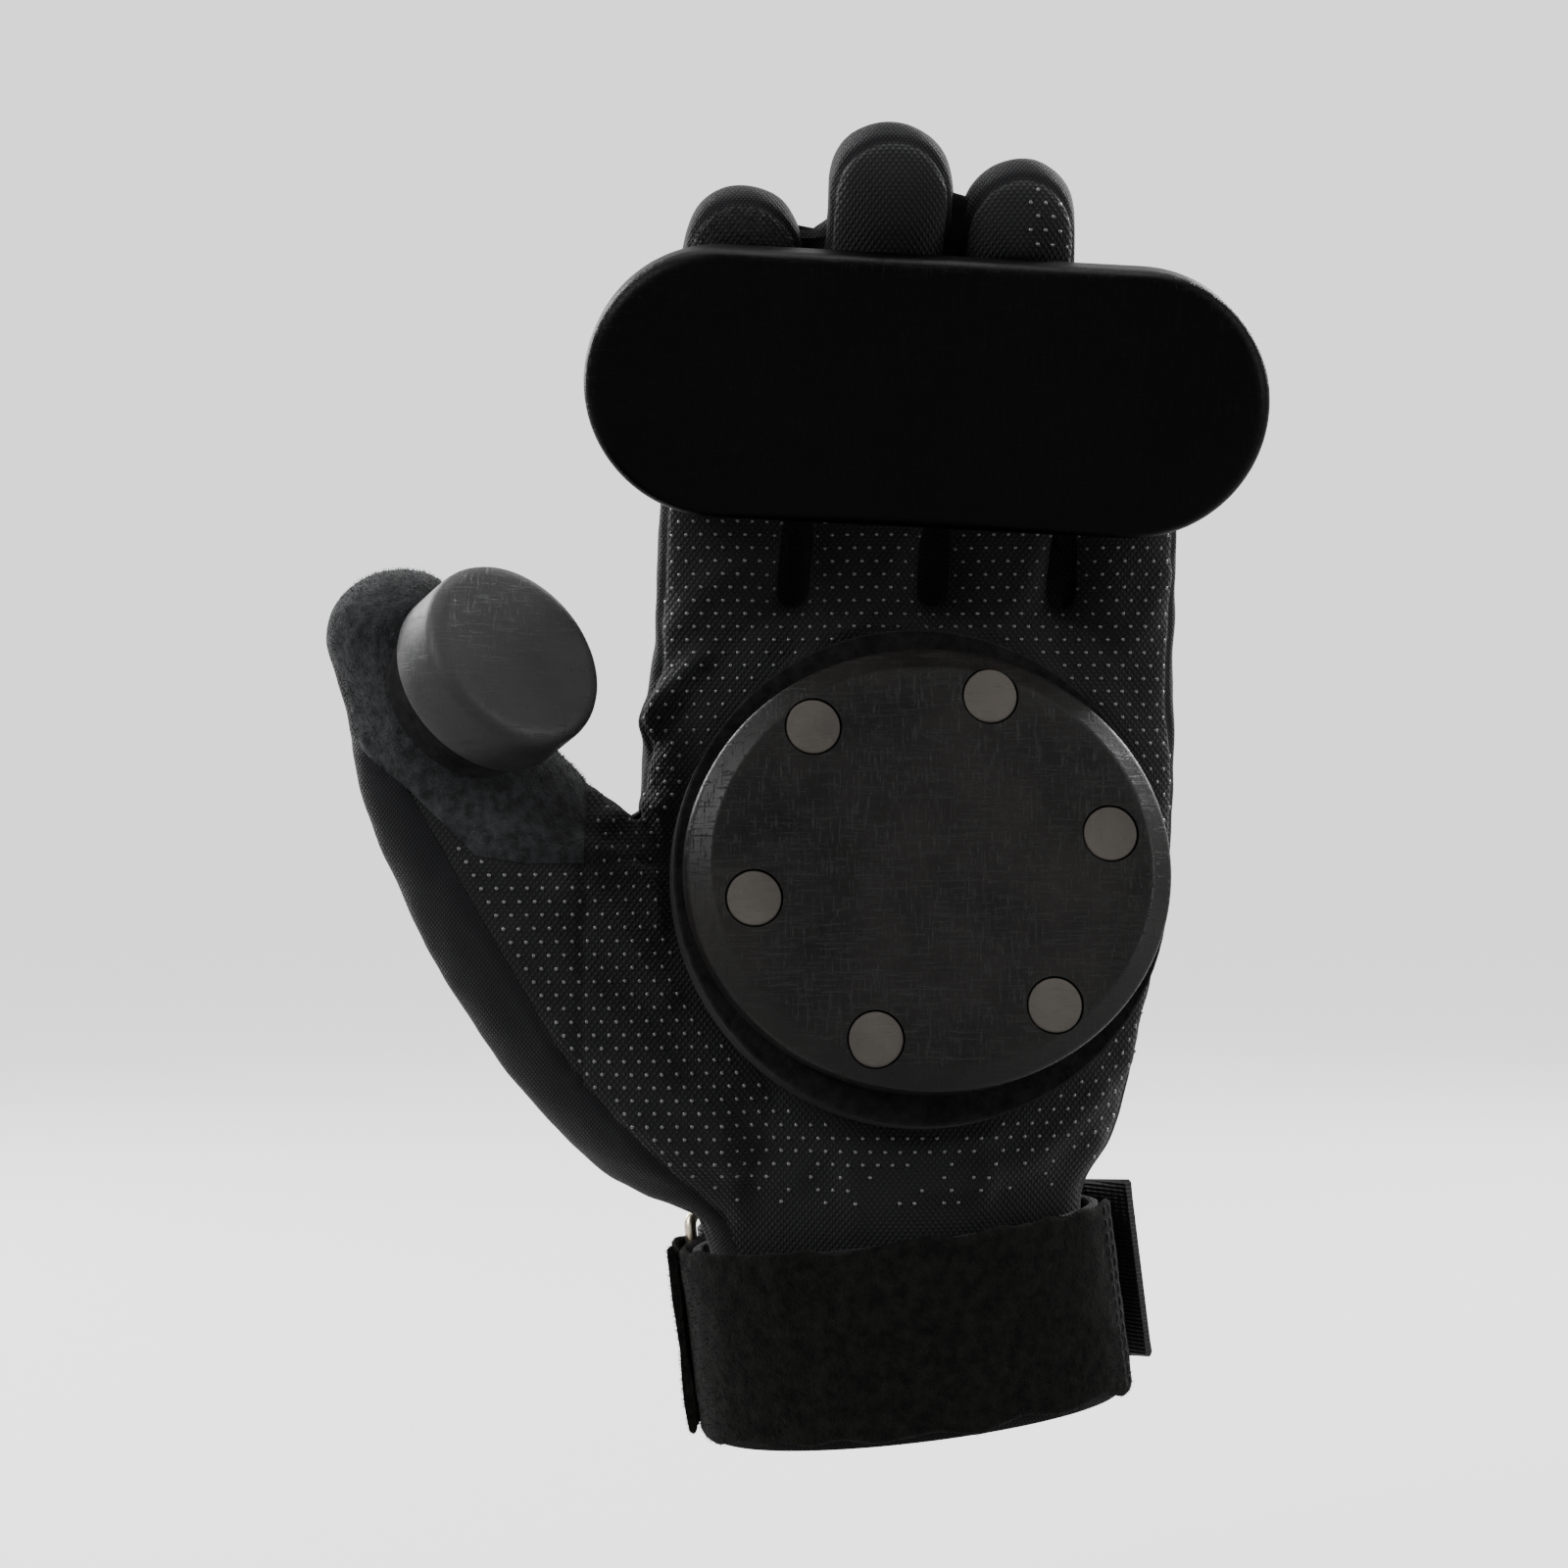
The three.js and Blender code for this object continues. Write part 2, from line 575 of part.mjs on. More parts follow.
// A metal loop near the thumb side, with one leg for the band and one for the strap
function addRing() {
  const low = BAND_RAISE - GAP;
  const high = STRAP_RAISE + STRAP_HEIGHT + GAP;
  const corner = (turn, z) => {
    const foot = wristOval(ringLine, turn);
    return new THREE.Vector3(foot.x, foot.y, z);
  };
  const path = new THREE.CatmullRomCurve3([
    corner(bandLeg, low),
    corner(bandLeg, high),
    corner(RING_TURN, high + RING_WIRE),
    corner(strapLeg, high),
    corner(strapLeg, low),
    corner(RING_TURN, low - RING_WIRE),
  ], true, 'catmullrom', 0.2);
  const wire = new THREE.Shape();
  wire.absarc(0, 0, RING_WIRE / 2, 0, Math.PI * 2);
  const geometry = new THREE.ExtrudeGeometry(wire, {
    steps: RING_STEPS, curveSegments: 3, bevelEnabled: false, extrudePath: path,
  });
  addPiece('strap_ring', geometryOf(solidOf(leaned(geometry))), 0xb9b2a2, 0.3, 1);
}

// The fleece band: from the little finger's side over the palm side, then round the ring's leg
function addBand() {
  const line = [
    ...arc(innerLine, BAND_START, bandLeg + LEG_CLEAR, 18),
    ...roundLeg(bandLeg, -1),
    ...arc(outerLine, bandLeg + LEG_CLEAR * 2, bandLeg + LEG_CLEAR * 4, 2),
  ];
  const shape = stripShape(line, STRAP_THICKNESS);
  addPiece('wrist_band', geometryOf(solidOf(upright(shape, BAND_RAISE, BAND_HEIGHT))), 0x0c0c0d, 0.95, 0);
}

// The webbing: sewn at the little finger's side, over the back, round the ring's leg and back again
function addStrap() {
  const loose = wristOval(outerLine, STRAP_LEAVES);
  const heading = new THREE.Vector2(
    (WRIST_WIDTH / 2 + outerLine) * Math.sin(radians(STRAP_LEAVES)),
    -(WRIST_DEPTH / 2 + outerLine) * Math.cos(radians(STRAP_LEAVES)),
  ).normalize();
  const line = [
    ...arc(innerLine, STRAP_SEWN, strapLeg - LEG_CLEAR, 12),
    ...roundLeg(strapLeg, 1),
    ...arc(outerLine, strapLeg - LEG_CLEAR * 2, STRAP_LEAVES, 11),
    loose.addScaledVector(heading, STRAP_END),
  ];
  const shape = stripShape(line, STRAP_THICKNESS);
  addPiece('strap', geometryOf(solidOf(upright(shape, STRAP_RAISE, STRAP_HEIGHT))), 0x141415, 0.8, 0);
}

// Seats for the hard pieces: a frame whose z points away from the cloth and whose y points up
function seatFrame(centre, normal, roll) {
  const out = normal.clone().normalize();
  const up = new THREE.Vector3(0, 0, 1).addScaledVector(out, -out.z).normalize();
  const side = new THREE.Vector3().crossVectors(up, out);
  const frame = new THREE.Matrix4().makeBasis(side, up, out).setPosition(centre);
  return frame.multiply(new THREE.Matrix4().makeRotationZ(-radians(roll)));
}

function placed(geometry, frame, height) {
  geometry.translate(0, 0, height);
  geometry.applyMatrix4(frame);
  return solidOf(geometry);
}

// How far the cloth stands out along a frame's z, under an outline drawn in the frame
function clothHeight(shape, frame) {
  const column = new THREE.ExtrudeGeometry(shape, { depth: REACH, bevelEnabled: false, curveSegments: 8 });
  const covered = placed(column, frame, -FINGER_FRONT).intersect(handForm(0));
  const geometry = geometryOf(covered);
  geometry.applyMatrix4(frame.clone().invert());
  geometry.computeBoundingBox();
  return geometry.boundingBox.max.z;
}

function discShape(radius) {
  const shape = new THREE.Shape();
  shape.absarc(0, 0, radius, 0, Math.PI * 2);
  return shape;
}

function stadiumShape(length, width) {
  const shape = new THREE.Shape();
  const middle = (length - width) / 2;
  shape.absarc(middle, 0, width / 2, -Math.PI / 2, Math.PI / 2);
  shape.absarc(-middle, 0, width / 2, Math.PI / 2, Math.PI * 1.5);
  return shape;
}

// A round block with a softened outer edge, standing on z = 0
function discBlock(radius, thickness, edge, sides) {
  const geometry = new THREE.LatheGeometry([
    new THREE.Vector2(0, 0),
    new THREE.Vector2(radius - edge / 3, 0),
    new THREE.Vector2(radius, edge / 3),
    new THREE.Vector2(radius, thickness - edge),
    new THREE.Vector2(radius - edge * 0.3, thickness - edge * 0.3),
    new THREE.Vector2(radius - edge, thickness),
    new THREE.Vector2(0, thickness),
  ], sides);
  geometry.rotateX(Math.PI / 2);
  return geometry;
}

function cylinderBlock(radius, height, sides) {
  const cylinder = new THREE.CylinderGeometry(radius, radius, height, sides);
  return cylinder.rotateX(Math.PI / 2).translate(0, 0, height / 2);
}

// A pad between the cloth and a puck, cut to the cloth's form
function padSolid(radius, thickness, frame, top) {
  const block = placed(cylinderBlock(radius, thickness, PUCK_SIDES), frame, top - thickness);
  return block.subtract(handForm(GAP));
}

function addPalmPuck() {
  const centre = new THREE.Vector3(PALM_PUCK_SIDE, 0, PALM_PUCK_UP);
  const normal = new THREE.Vector3(
    Math.tan(radians(PALM_PUCK_YAW)), -1, Math.tan(radians(PALM_PUCK_PITCH)),
  );
  const frame = seatFrame(centre, normal, 0);
  const radius = PALM_PUCK / 2;
  const padTop = clothHeight(discShape(radius + PALM_PAD_RIM), frame) + GAP + PAD_MINIMUM;
  const back = padTop + GAP;
  const studPlaces = Array.from({ length: STUDS }, (_, i) => radians(STUD_FIRST + (i * 360) / STUDS));
  const onCircle = (geometry, turn) => geometry.translate(
    (Math.cos(turn) * STUD_CIRCLE) / 2, (Math.sin(turn) * STUD_CIRCLE) / 2, 0,
  );
  const face = back + PALM_PUCK_THICKNESS;
  const pockets = studPlaces.map((turn) => placed(
    onCircle(cylinderBlock(STUD / 2 + GAP, STUD_DEPTH * 2, STUD_SIDES), turn), frame, face - STUD_DEPTH,
  ));
  const block = discBlock(radius, PALM_PUCK_THICKNESS, PUCK_EDGE, PUCK_SIDES);
  const disc = placed(block.scale(1, PALM_PUCK_HEIGHT / PALM_PUCK, 1), frame, back);
  addPiece('palm_puck', geometryOf(disc.subtract(union(pockets))), 0x1d1b1a, 0.55, 0);
  studPlaces.forEach((turn, i) => {
    const round = cylinderBlock(STUD / 2, STUD_DEPTH - GAP * 1.5, STUD_SIDES);
    const stud = placed(onCircle(round, turn), frame, face - STUD_DEPTH + GAP);
    addPiece(`puck_stud_${i + 1}`, geometryOf(stud), 0x2b2826, 0.6, 0);
  });
  const pad = padSolid(radius + PALM_PAD_RIM, PALM_PAD_THICKNESS, frame, padTop);
  addPiece('palm_pad', geometryOf(pad), 0x0a0a0a, 0.85, 0);
}

function addFingerBar() {
  const centre = new THREE.Vector3(0, fingerLine(barPlace), barPlace);
  const normal = new THREE.Vector3(0, -1, -Math.tan(radians(FINGER_LEAN)));
  const frame = seatFrame(centre, normal, BAR_ROLL);
  const seat = clothHeight(stadiumShape(BAR_LENGTH, BAR_WIDTH), frame);
  const geometry = new THREE.ExtrudeGeometry(stadiumShape(BAR_LENGTH, BAR_WIDTH), {
    depth: BAR_THICKNESS - PUCK_EDGE * 2,
    bevelThickness: PUCK_EDGE,
    bevelSize: PUCK_EDGE,
    bevelOffset: -PUCK_EDGE,
    bevelSegments: 2,
    curveSegments: 8,
  });
  addPiece('finger_bar', geometryOf(placed(geometry, frame, seat + GAP + PUCK_EDGE)), 0x090909, 0.5, 0);
}

function addThumbPuck() {
  const section = thumbSection(thumbMiddle, 0);
  const centre = section.centre.clone().addScaledVector(section.spine, THUMB_PUCK_UP);
  const normal = section.palmar.clone();
  normal.addScaledVector(section.across, Math.tan(radians(THUMB_PUCK_TURN)));
  normal.addScaledVector(section.spine, Math.tan(radians(THUMB_PUCK_TILT)));
  const frame = seatFrame(centre, normal, 0);
  const padTop = clothHeight(discShape(THUMB_PUCK / 2), frame) + GAP + PAD_MINIMUM;
  const block = discBlock(THUMB_PUCK / 2, THUMB_PUCK_THICKNESS, PUCK_EDGE, PUCK_SIDES);
  addPiece('thumb_puck', geometryOf(placed(block, frame, padTop + GAP)), 0x1c1c1e, 0.5, 0);
  const pad = padSolid(THUMB_PAD / 2, THUMB_PAD_THICKNESS, frame, padTop);
  addPiece('thumb_pad', geometryOf(pad), 0x0a0a0a, 0.85, 0);
}

// Trim of the back: an outline laid on the cloth as a layer of even thickness
function backLayer(shape, from, to) {
  const layer = handForm(to).subtract(handForm(from));
  return layer.intersect(prism(shape, -REACH / 4, REACH / 4)).subtract(frontZone(0));
}

const plateTop = GAP + PLATE_THICKNESS;
const shellCentre = { x: PLATE_SIDE + SHELL_SIDE, z: PLATE_UP + SHELL_UP };

function addPlate() {
  const shape = outlineShape(PLATE_OUTLINE, PLATE_WIDTH, PLATE_HEIGHT, PLATE_SIDE, PLATE_UP);
  addPiece('knuckle_plate', geometryOf(backLayer(shape, GAP, plateTop)), 0x131314, 0.6, 0);
}

function addInlays() {
  const low = plateTop + GAP;
  const high = low + INLAY;
  CRESCENTS.forEach((row) => {
    const x = PLATE_SIDE + row.x * PLATE_WIDTH;
    const z = PLATE_UP + row.z * PLATE_HEIGHT;
    const half = row.half * PLATE_WIDTH;
    const shape = new THREE.Shape();
    const { left, top, right, bottom } = CRESCENT_ARC;
    shape.moveTo(x - half, z + half * left);
    shape.quadraticCurveTo(x, z + half * top, x + half, z + half * right);
    shape.quadraticCurveTo(x, z + half * bottom, x - half, z + half * left);
    addPiece(row.name, geometryOf(backLayer(shape, low, high)), 0xf2f2f2, 0.5, 0);
  });
  const wave = outlineShape(WAVE, PLATE_WIDTH, PLATE_HEIGHT, PLATE_SIDE, PLATE_UP);
  addPiece('wave_stripe', geometryOf(backLayer(wave, low, high)), 0xf2f2f2, 0.5, 0);
}

function addKnuckleShell() {
  const low = plateTop + GAP;
  const outline = stadiumShape(SHELL_WIDTH, SHELL_HEIGHT);
  const points = outline.getPoints(4).map((point) => new THREE.Vector2(
    shellCentre.x + point.x, shellCentre.z + point.y,
  ));
  const rim = backLayer(new THREE.Shape(points), low, low + SHELL_RIM);
  const middle = PALM_SECTIONS[2];
  const clothBack = PALM_DEPTH * middle.back;
  const bulges = BULGES.map((row) => {
    const x = shellCentre.x + row.x * SHELL_WIDTH;
    const ball = new THREE.SphereGeometry(1, 10, 8);
    const cloth = clothBack * (1 - Math.abs((x / PALM_WIDTH) * 2) ** middle.power) ** (1 / middle.power);
    ball.scale(row.half * SHELL_WIDTH * BULGE_OVERLAP, SHELL_RISE, SHELL_HEIGHT * BULGE_HEIGHT);
    ball.translate(x, cloth + low, shellCentre.z);
    return solidOf(ball);
  });
  const shell = rim.add(union(bulges).subtract(handForm(low)));
  addPiece('knuckle_shell', geometryOf(shell), 0x0b0b0c, 0.25, 0);
}

// The joint guard of a finger: a rubber oval rim, with a hard dome in it
function addGuards() {
  FINGERS.forEach((finger) => {
    const z = fingerRoot + finger.guard * FINGER_LENGTH;
    const x = fingerX(finger, z);
    const width = GUARD_WIDTH * Math.min(finger.width, 1);
    const centred = (shape) => new THREE.Shape(shape.getPoints(3).map((point) => new THREE.Vector2(
      x + point.y, z + point.x,
    )).reverse());
    const rimTop = GAP + GUARD_THICKNESS;
    const outer = backLayer(centred(stadiumShape(GUARD_LENGTH, width)), GAP, rimTop);
    const hole = centred(stadiumShape(GUARD_LENGTH - GUARD_RIM * 2, width - GUARD_RIM * 2));
    const rim = outer.subtract(prism(hole, -REACH / 4, REACH / 4));
    addPiece(`guard_rim_${finger.name}`, geometryOf(rim), 0x151516, 0.6, 0);
    const dome = new THREE.SphereGeometry(1, 10, 6);
    const inset = GUARD_RIM * 2 + GAP * 2;
    dome.scale((width - inset) / 2, DOME_SINK + DOME_RISE, (GUARD_LENGTH - inset) / 2);
    dome.translate(x, fingerLine(z) + FINGER_BACK - DOME_SINK, z);
    const body = solidOf(dome).subtract(handForm(GAP)).subtract(frontZone(0));
    addPiece(`guard_dome_${finger.name}`, geometryOf(body), 0x0b0b0c, 0.25, 0);
  });
}

function addBadges() {
  FINGERS.forEach((finger) => {
    const z = fingerRoot + finger.badge * FINGER_LENGTH;
    const x = fingerX(finger, z);
    const shape = outlineShape(BADGE_OUTLINE, BADGE_WIDTH * finger.width, BADGE_LENGTH, x, z);
    const top = GAP + BADGE_THICKNESS;
    addPiece(`badge_${finger.name}`, geometryOf(backLayer(shape, GAP, top)), 0x141415, 0.6, 0);
    DOTS.forEach((row, i) => {
      const dot = new THREE.Shape();
      const radius = row.radius * BADGE_WIDTH;
      dot.absarc(x, z + row.along * BADGE_LENGTH, radius, 0, Math.PI * 2);
      const solid = backLayer(new THREE.Shape(dot.getPoints(3)), top + GAP, top + GAP + DOT_RISE);
      addPiece(`badge_dot_${finger.name}_${i + 1}`, geometryOf(solid), 0xc9c42c, 0.5, 0);
    });
  });
}

addPanels();
addCuff();
addBand();
addStrap();
addRing();
addPalmPuck();
addFingerBar();
addThumbPuck();
addPlate();
addInlays();
addKnuckleShell();
addGuards();
addBadges();

export default glove;
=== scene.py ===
# %% [markdown]
# # A longboard slide glove, worn on the left hand
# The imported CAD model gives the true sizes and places. This lesson dresses it: cloth with seams
# and folds, scuffed sliders, rubber armour with stitches, a ribbed strap and a fleece band.
# Everything is worked out in millimetres and turned to metres when a mesh is made.

import json
import math

import bpy
import bmesh
import numpy as np
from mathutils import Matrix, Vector, noise
from mathutils.bvhtree import BVHTree


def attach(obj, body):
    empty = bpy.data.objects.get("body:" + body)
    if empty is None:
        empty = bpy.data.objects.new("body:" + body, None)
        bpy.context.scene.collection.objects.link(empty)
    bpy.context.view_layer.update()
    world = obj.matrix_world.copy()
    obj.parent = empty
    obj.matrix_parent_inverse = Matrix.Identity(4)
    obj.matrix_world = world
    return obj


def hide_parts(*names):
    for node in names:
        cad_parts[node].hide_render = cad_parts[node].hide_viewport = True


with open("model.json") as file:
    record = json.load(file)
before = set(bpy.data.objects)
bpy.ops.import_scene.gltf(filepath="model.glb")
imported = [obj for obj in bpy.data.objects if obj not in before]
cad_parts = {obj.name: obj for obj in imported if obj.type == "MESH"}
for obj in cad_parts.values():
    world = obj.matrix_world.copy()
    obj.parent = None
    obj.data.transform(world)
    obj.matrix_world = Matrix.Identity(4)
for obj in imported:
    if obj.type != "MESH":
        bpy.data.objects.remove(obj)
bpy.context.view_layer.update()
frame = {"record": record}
mounts = {row["name"]: row for row in frame["record"]["mounts"]}

# %% [markdown]
# ## Camera
# The photograph looks straight at the palm from about 0.6 m, level with the middle of the glove.
# A longer lens from further off would flatten the glove, so the distance is kept as it was.

# %% Camera
CAMERA_PLACE = (-0.026, -0.6, 0.122)
CAMERA_LENS = 71

camera_data = bpy.data.cameras.new("camera")
camera_data.lens = CAMERA_LENS
camera = bpy.data.objects.new("camera", camera_data)
camera.location = CAMERA_PLACE
camera.rotation_euler = (math.radians(90), 0, 0)
bpy.context.collection.objects.link(camera)
bpy.context.scene.camera = camera
print("camera", CAMERA_PLACE, "lens", CAMERA_LENS)

# %% [markdown]
# ## Sizes
# These are the glove's own measures, the same as in its CAD source: the palm, four fingers that
# lean forward, and a thumb that reaches out and forward. Each table holds shares of those sizes.

# %% Sizes of the sewn hand
MM = 0.001
PALM_LENGTH, PALM_WIDTH, PALM_DEPTH = 157.0, 103.0, 44.0
CLOTH, SEAM, GUSSET_WIDTH, GAP = 1.8, 0.08, 12.0, 0.3
FINGER_LENGTH, FINGER_WIDTH, FINGER_FRONT, FINGER_BACK = 90.0, 26.6, 11.5, 11.0
FINGER_LEAN, TIP_LEAN, FINGERTIP = 16.0, 30.0, 13.0
WEB_OVERLAP, ROOT_FORWARD, ROOT_BLEND, FINGER_BEND_AT = 3.0, 3.0, 23.0, 62.0
THUMB_OUT, THUMB_UP, THUMB_FORWARD = 102.0, 151.0, 20.0
THUMB_WIDTH, THUMB_DEPTH, THUMBTIP, THUMB_MIDDLE = 30.0, 27.0, 11.0, 3
WRIST_WIDTH, WRIST_DEPTH, WRIST_LEAN = 73.0, 49.0, 7.0
CUFF_HEIGHT, CUFF_PADDING = 37.0, 3.0

# along, side, half, front, back, forward, power
PALM_SECTIONS = [
    (0.35, -0.06, 0.425, 0.59, 0.46, 0.0, 2.3),
    (0.51, -0.05, 0.47, 0.57, 0.41, 0.0, 2.5),
    (0.66, -0.03, 0.495, 0.51, 0.385, 0.0, 2.6),
    (0.81, -0.02, 0.50, 0.44, 0.37, 0.0, 2.6),
    (0.92, -0.012, 0.49, 0.36, 0.345, 0.02, 2.6),
    (0.97, -0.01, 0.475, 0.30, 0.29, 0.04, 2.6),
    (1.0, -0.01, 0.445, 0.19, 0.19, 0.05, 2.6),
]
# base, tip, length, width, bend, guard, badge
FINGERS = {
    "index": (-0.37, -0.318, 0.87, 1.0, 1, 0.14, 0.6),
    "middle": (-0.108, -0.057, 0.985, 1.0, 1, 0.18, 0.665),
    "ring": (0.14, 0.175, 0.915, 0.94, 1, 0.11, 0.59),
    "pinky": (0.374, 0.36, 0.69, 0.845, 0, 0.06, 0.385),
}
# along the straight stretch, share of the finger's width
FINGER_SECTIONS = [(-0.4, 0.9), (0.0, 0.96), (0.5, 0.985), (1.0, 0.925)]
# out, forward, up, width, front, back, turn
THUMB_SECTIONS = [
    (0.3, 0.1, 0.33, 1.1, 0.6, 0.5, 5),
    (0.42, 0.4, 0.44, 1.73, 0.76, 0.6, 15),
    (0.67, 0.6, 0.63, 1.7, 0.63, 0.54, 30),
    (0.86, 0.8, 0.81, 1.32, 0.52, 0.48, 43),
    (0.935, 0.94, 0.935, 1.0, 0.46, 0.42, 48),
    (0.975, 1.0, 1.0, 0.92, 0.43, 0.4, 48),
]
TIP_RINGS = np.radians([10, 20, 30, 40, 50, 60, 68, 76, 83])

# %% [markdown]
# ## Small tools for meshes
# A shape here is a list of rings: loops of points that follow each other, closed by a point or a
# flat face at each end. It is quick, gives clean quads, and suits pucks, straps and trim alike.

# %% Meshes from arrays
def put(name, points, faces, smooth_angle=40):
    """A mesh object from points in millimetres."""
    mesh = bpy.data.meshes.new(name)
    corners = [list(map(int, face)) for face in faces]
    mesh.from_pydata((np.asarray(points, float) * MM).tolist(), [], corners)
    mesh.update()
    mesh.shade_smooth()
    mesh.set_sharp_from_angle(angle=math.radians(smooth_angle))
    obj = bpy.data.objects.new(name, mesh)
    bpy.context.collection.objects.link(obj)
    return obj


def facing_out(obj):
    """The same object with all its faces turned outwards."""
    shape = bmesh.new()
    shape.from_mesh(obj.data)
    bmesh.ops.recalc_face_normals(shape, faces=shape.faces)
    shape.to_mesh(obj.data)
    shape.free()
    return obj


def ringed(rings, first=None, last=None, around=False):
    """Points and faces of rings of equal count.

    first and last are end points, or None for flat ends, and around joins the last to the first.
    """
    rings = [np.asarray(ring, float) for ring in rings]
    count = len(rings[0])
    points = np.vstack(rings)
    faces = []
    pairs = len(rings) if around else len(rings) - 1
    for i in range(pairs):
        low, high = i * count, ((i + 1) % len(rings)) * count
        for k in range(count):
            after = (k + 1) % count
            faces.append((low + k, low + after, high + after, high + k))
    if around:
        return points, faces
    end = (len(rings) - 1) * count
    if first is None:
        faces.append(tuple(range(count))[::-1])
    else:
        points = np.vstack([points, first])
        faces += [((k + 1) % count, k, len(points) - 1) for k in range(count)]
    if last is None:
        faces.append(tuple(range(end, end + count)))
    else:
        points = np.vstack([points, last])
        faces += [(end + k, end + (k + 1) % count, len(points) - 1) for k in range(count)]
    return points, faces


def joined(parts):
    """Several (points, faces) as one."""
    points, faces, start = [], [], 0
    for part_points, part_faces in parts:
        points.append(part_points)
        faces += [tuple(np.add(face, start)) for face in part_faces]
        start += len(part_points)
    return np.vstack(points), faces


def curve(points, steps, closed=False, tension=0.5):
    """A smooth line through points, steps to each stretch."""
    points = np.asarray(points, float)
    if closed:
        before, after = np.roll(points, 1, 0), np.roll(points, -1, 0)
        ends = after
    else:
        wide = np.vstack([2 * points[0] - points[1], points, 2 * points[-1] - points[-2]])
        before, after = wide[:-2], wide[2:]
        ends = points[1:]
    slopes = tension * (after - before)
    next_slopes = np.roll(slopes, -1, 0)
    line = []
    for i in range(len(ends)):
        for t in np.arange(steps) / steps:
            line.append(
                (2 * t**3 - 3 * t**2 + 1) * points[i] + (t**3 - 2 * t**2 + t) * slopes[i]
                + (3 * t**2 - 2 * t**3) * ends[i] + (t**3 - t**2) * next_slopes[i]
            )
    if not closed:
        line.append(points[-1])
    return np.array(line)


def turns(count):
    """Even angles of a full turn."""
    return np.linspace(0, 2 * math.pi, count, endpoint=False)


def run_along(line):
    """The way from a line's start to each of its points."""
    return np.concatenate([[0], np.cumsum(np.linalg.norm(np.diff(line, axis=0), axis=1))])


def round_in(angle, first, second):
    """Points of a unit circle that lies in two directions."""
    return np.outer(np.cos(angle), first) + np.outer(np.sin(angle), second)


def spaced(line, pitch, closed=False):
    """The same line with points every pitch or so."""
    line = np.asarray(line, float)
    if closed:
        line = np.vstack([line, line[:1]])
    run = run_along(line)
    count = max(int(round(run[-1] / pitch)), 3)
    places = np.linspace(0, run[-1], count + 1)
    found = np.column_stack([np.interp(places, run, line[:, k]) for k in range(line.shape[1])])
    return found[:-1] if closed else found


def unit(vector):
    vector = np.asarray(vector, float)
    return vector / np.maximum(np.linalg.norm(vector, axis=-1, keepdims=True), 1e-9)


def soft_step(values, low, high):
    share = np.clip((np.asarray(values, float) - low) / (high - low), 0, 1)
    return share * share * (3 - 2 * share)


print("mesh tools ready")

# %% [markdown]
# ## The hand's form
# A sewn glove on a hand is a set of swelling tubes that flow into each other. Lofted sections
# give each tube, and a voxel remesh melts them into one skin. A sculpt would do as well, but the
# sections keep the CAD model's outline exactly. Smoothing then softens the webs between fingers.

# %% Lofts through the section tables
finger_root = PALM_LENGTH - WEB_OVERLAP
straight_top = finger_root + FINGER_BEND_AT
root_start = finger_root - ROOT_BLEND


def finger_line(z):
    """How far back the fingers' middle lies at a height."""
    z = np.asarray(z, float)
    root = np.clip((z - root_start) / (finger_root - root_start), 0, 1)
    straight = np.clip(z - finger_root, 0, straight_top - finger_root)
    bent = np.maximum(z - straight_top, 0)
    return (-ROOT_FORWARD * root - straight * math.tan(math.radians(FINGER_LEAN))
            - bent * math.tan(math.radians(TIP_LEAN)))


def finger_x(finger, z):
    base, tip, length = FINGERS[finger][:3]
    share = max((z - finger_root) / (FINGER_LENGTH * length), 0)
    return PALM_WIDTH * (base + (tip - base) * share)


def section(centre, direction, turn, half, front, back, power):
    spine = unit(direction)
    palmar = unit(np.array([0, -1, 0]) + spine * spine[1])
    angle = math.radians(turn)
    palmar = palmar * math.cos(angle) + np.cross(spine, palmar) * math.sin(angle)
    across = np.cross(spine, palmar)
    return np.concatenate([centre, across, palmar, [half, front, back, power], spine])


def loft(rows, sides, steps, tip=0):
    """A closed tube through sections, with a rounded end past the last where tip is its length."""
    rows = list(curve(rows, steps))
    if tip:
        end = rows[-1]
        for angle in TIP_RINGS:
            ring = end.copy()
            ring[0:3] += unit(end[13:16]) * tip * math.sin(angle)
            ring[9:12] *= math.cos(angle)
            rows.append(ring)
    angle = turns(sides)
    sine, cosine = np.sin(angle), np.cos(angle)
    rings = []
    for row in rows:
        power = 2 / row[12]
        across = row[9] * np.sign(sine) * np.abs(sine) ** power
        reach = np.where(cosine > 0, row[10], row[11])
        depth = reach * np.sign(cosine) * np.abs(cosine) ** power
        ring = row[0:3] + np.outer(across, unit(row[3:6])) + np.outer(depth, unit(row[6:9]))
        rings.append(ring)
    return ringed(rings)


wrist_axis = np.array([-math.sin(math.radians(WRIST_LEAN)), 0, math.cos(math.radians(WRIST_LEAN))])


def palm_rows():
    wrist = [
        section(wrist_axis * along, wrist_axis, 0,
                WRIST_WIDTH / 2, WRIST_DEPTH / 2, WRIST_DEPTH / 2, 2)
        for along in (-CUFF_PADDING, CUFF_HEIGHT / 2, CUFF_HEIGHT + CUFF_PADDING / 2)
    ]
    palm = [
        section((side * PALM_WIDTH, -forward * PALM_DEPTH, along * PALM_LENGTH), (0, 0, 1), 0,
                half * PALM_WIDTH, front * PALM_DEPTH, back * PALM_DEPTH, power)
        for along, side, half, front, back, forward, power in PALM_SECTIONS
    ]
    return wrist + palm


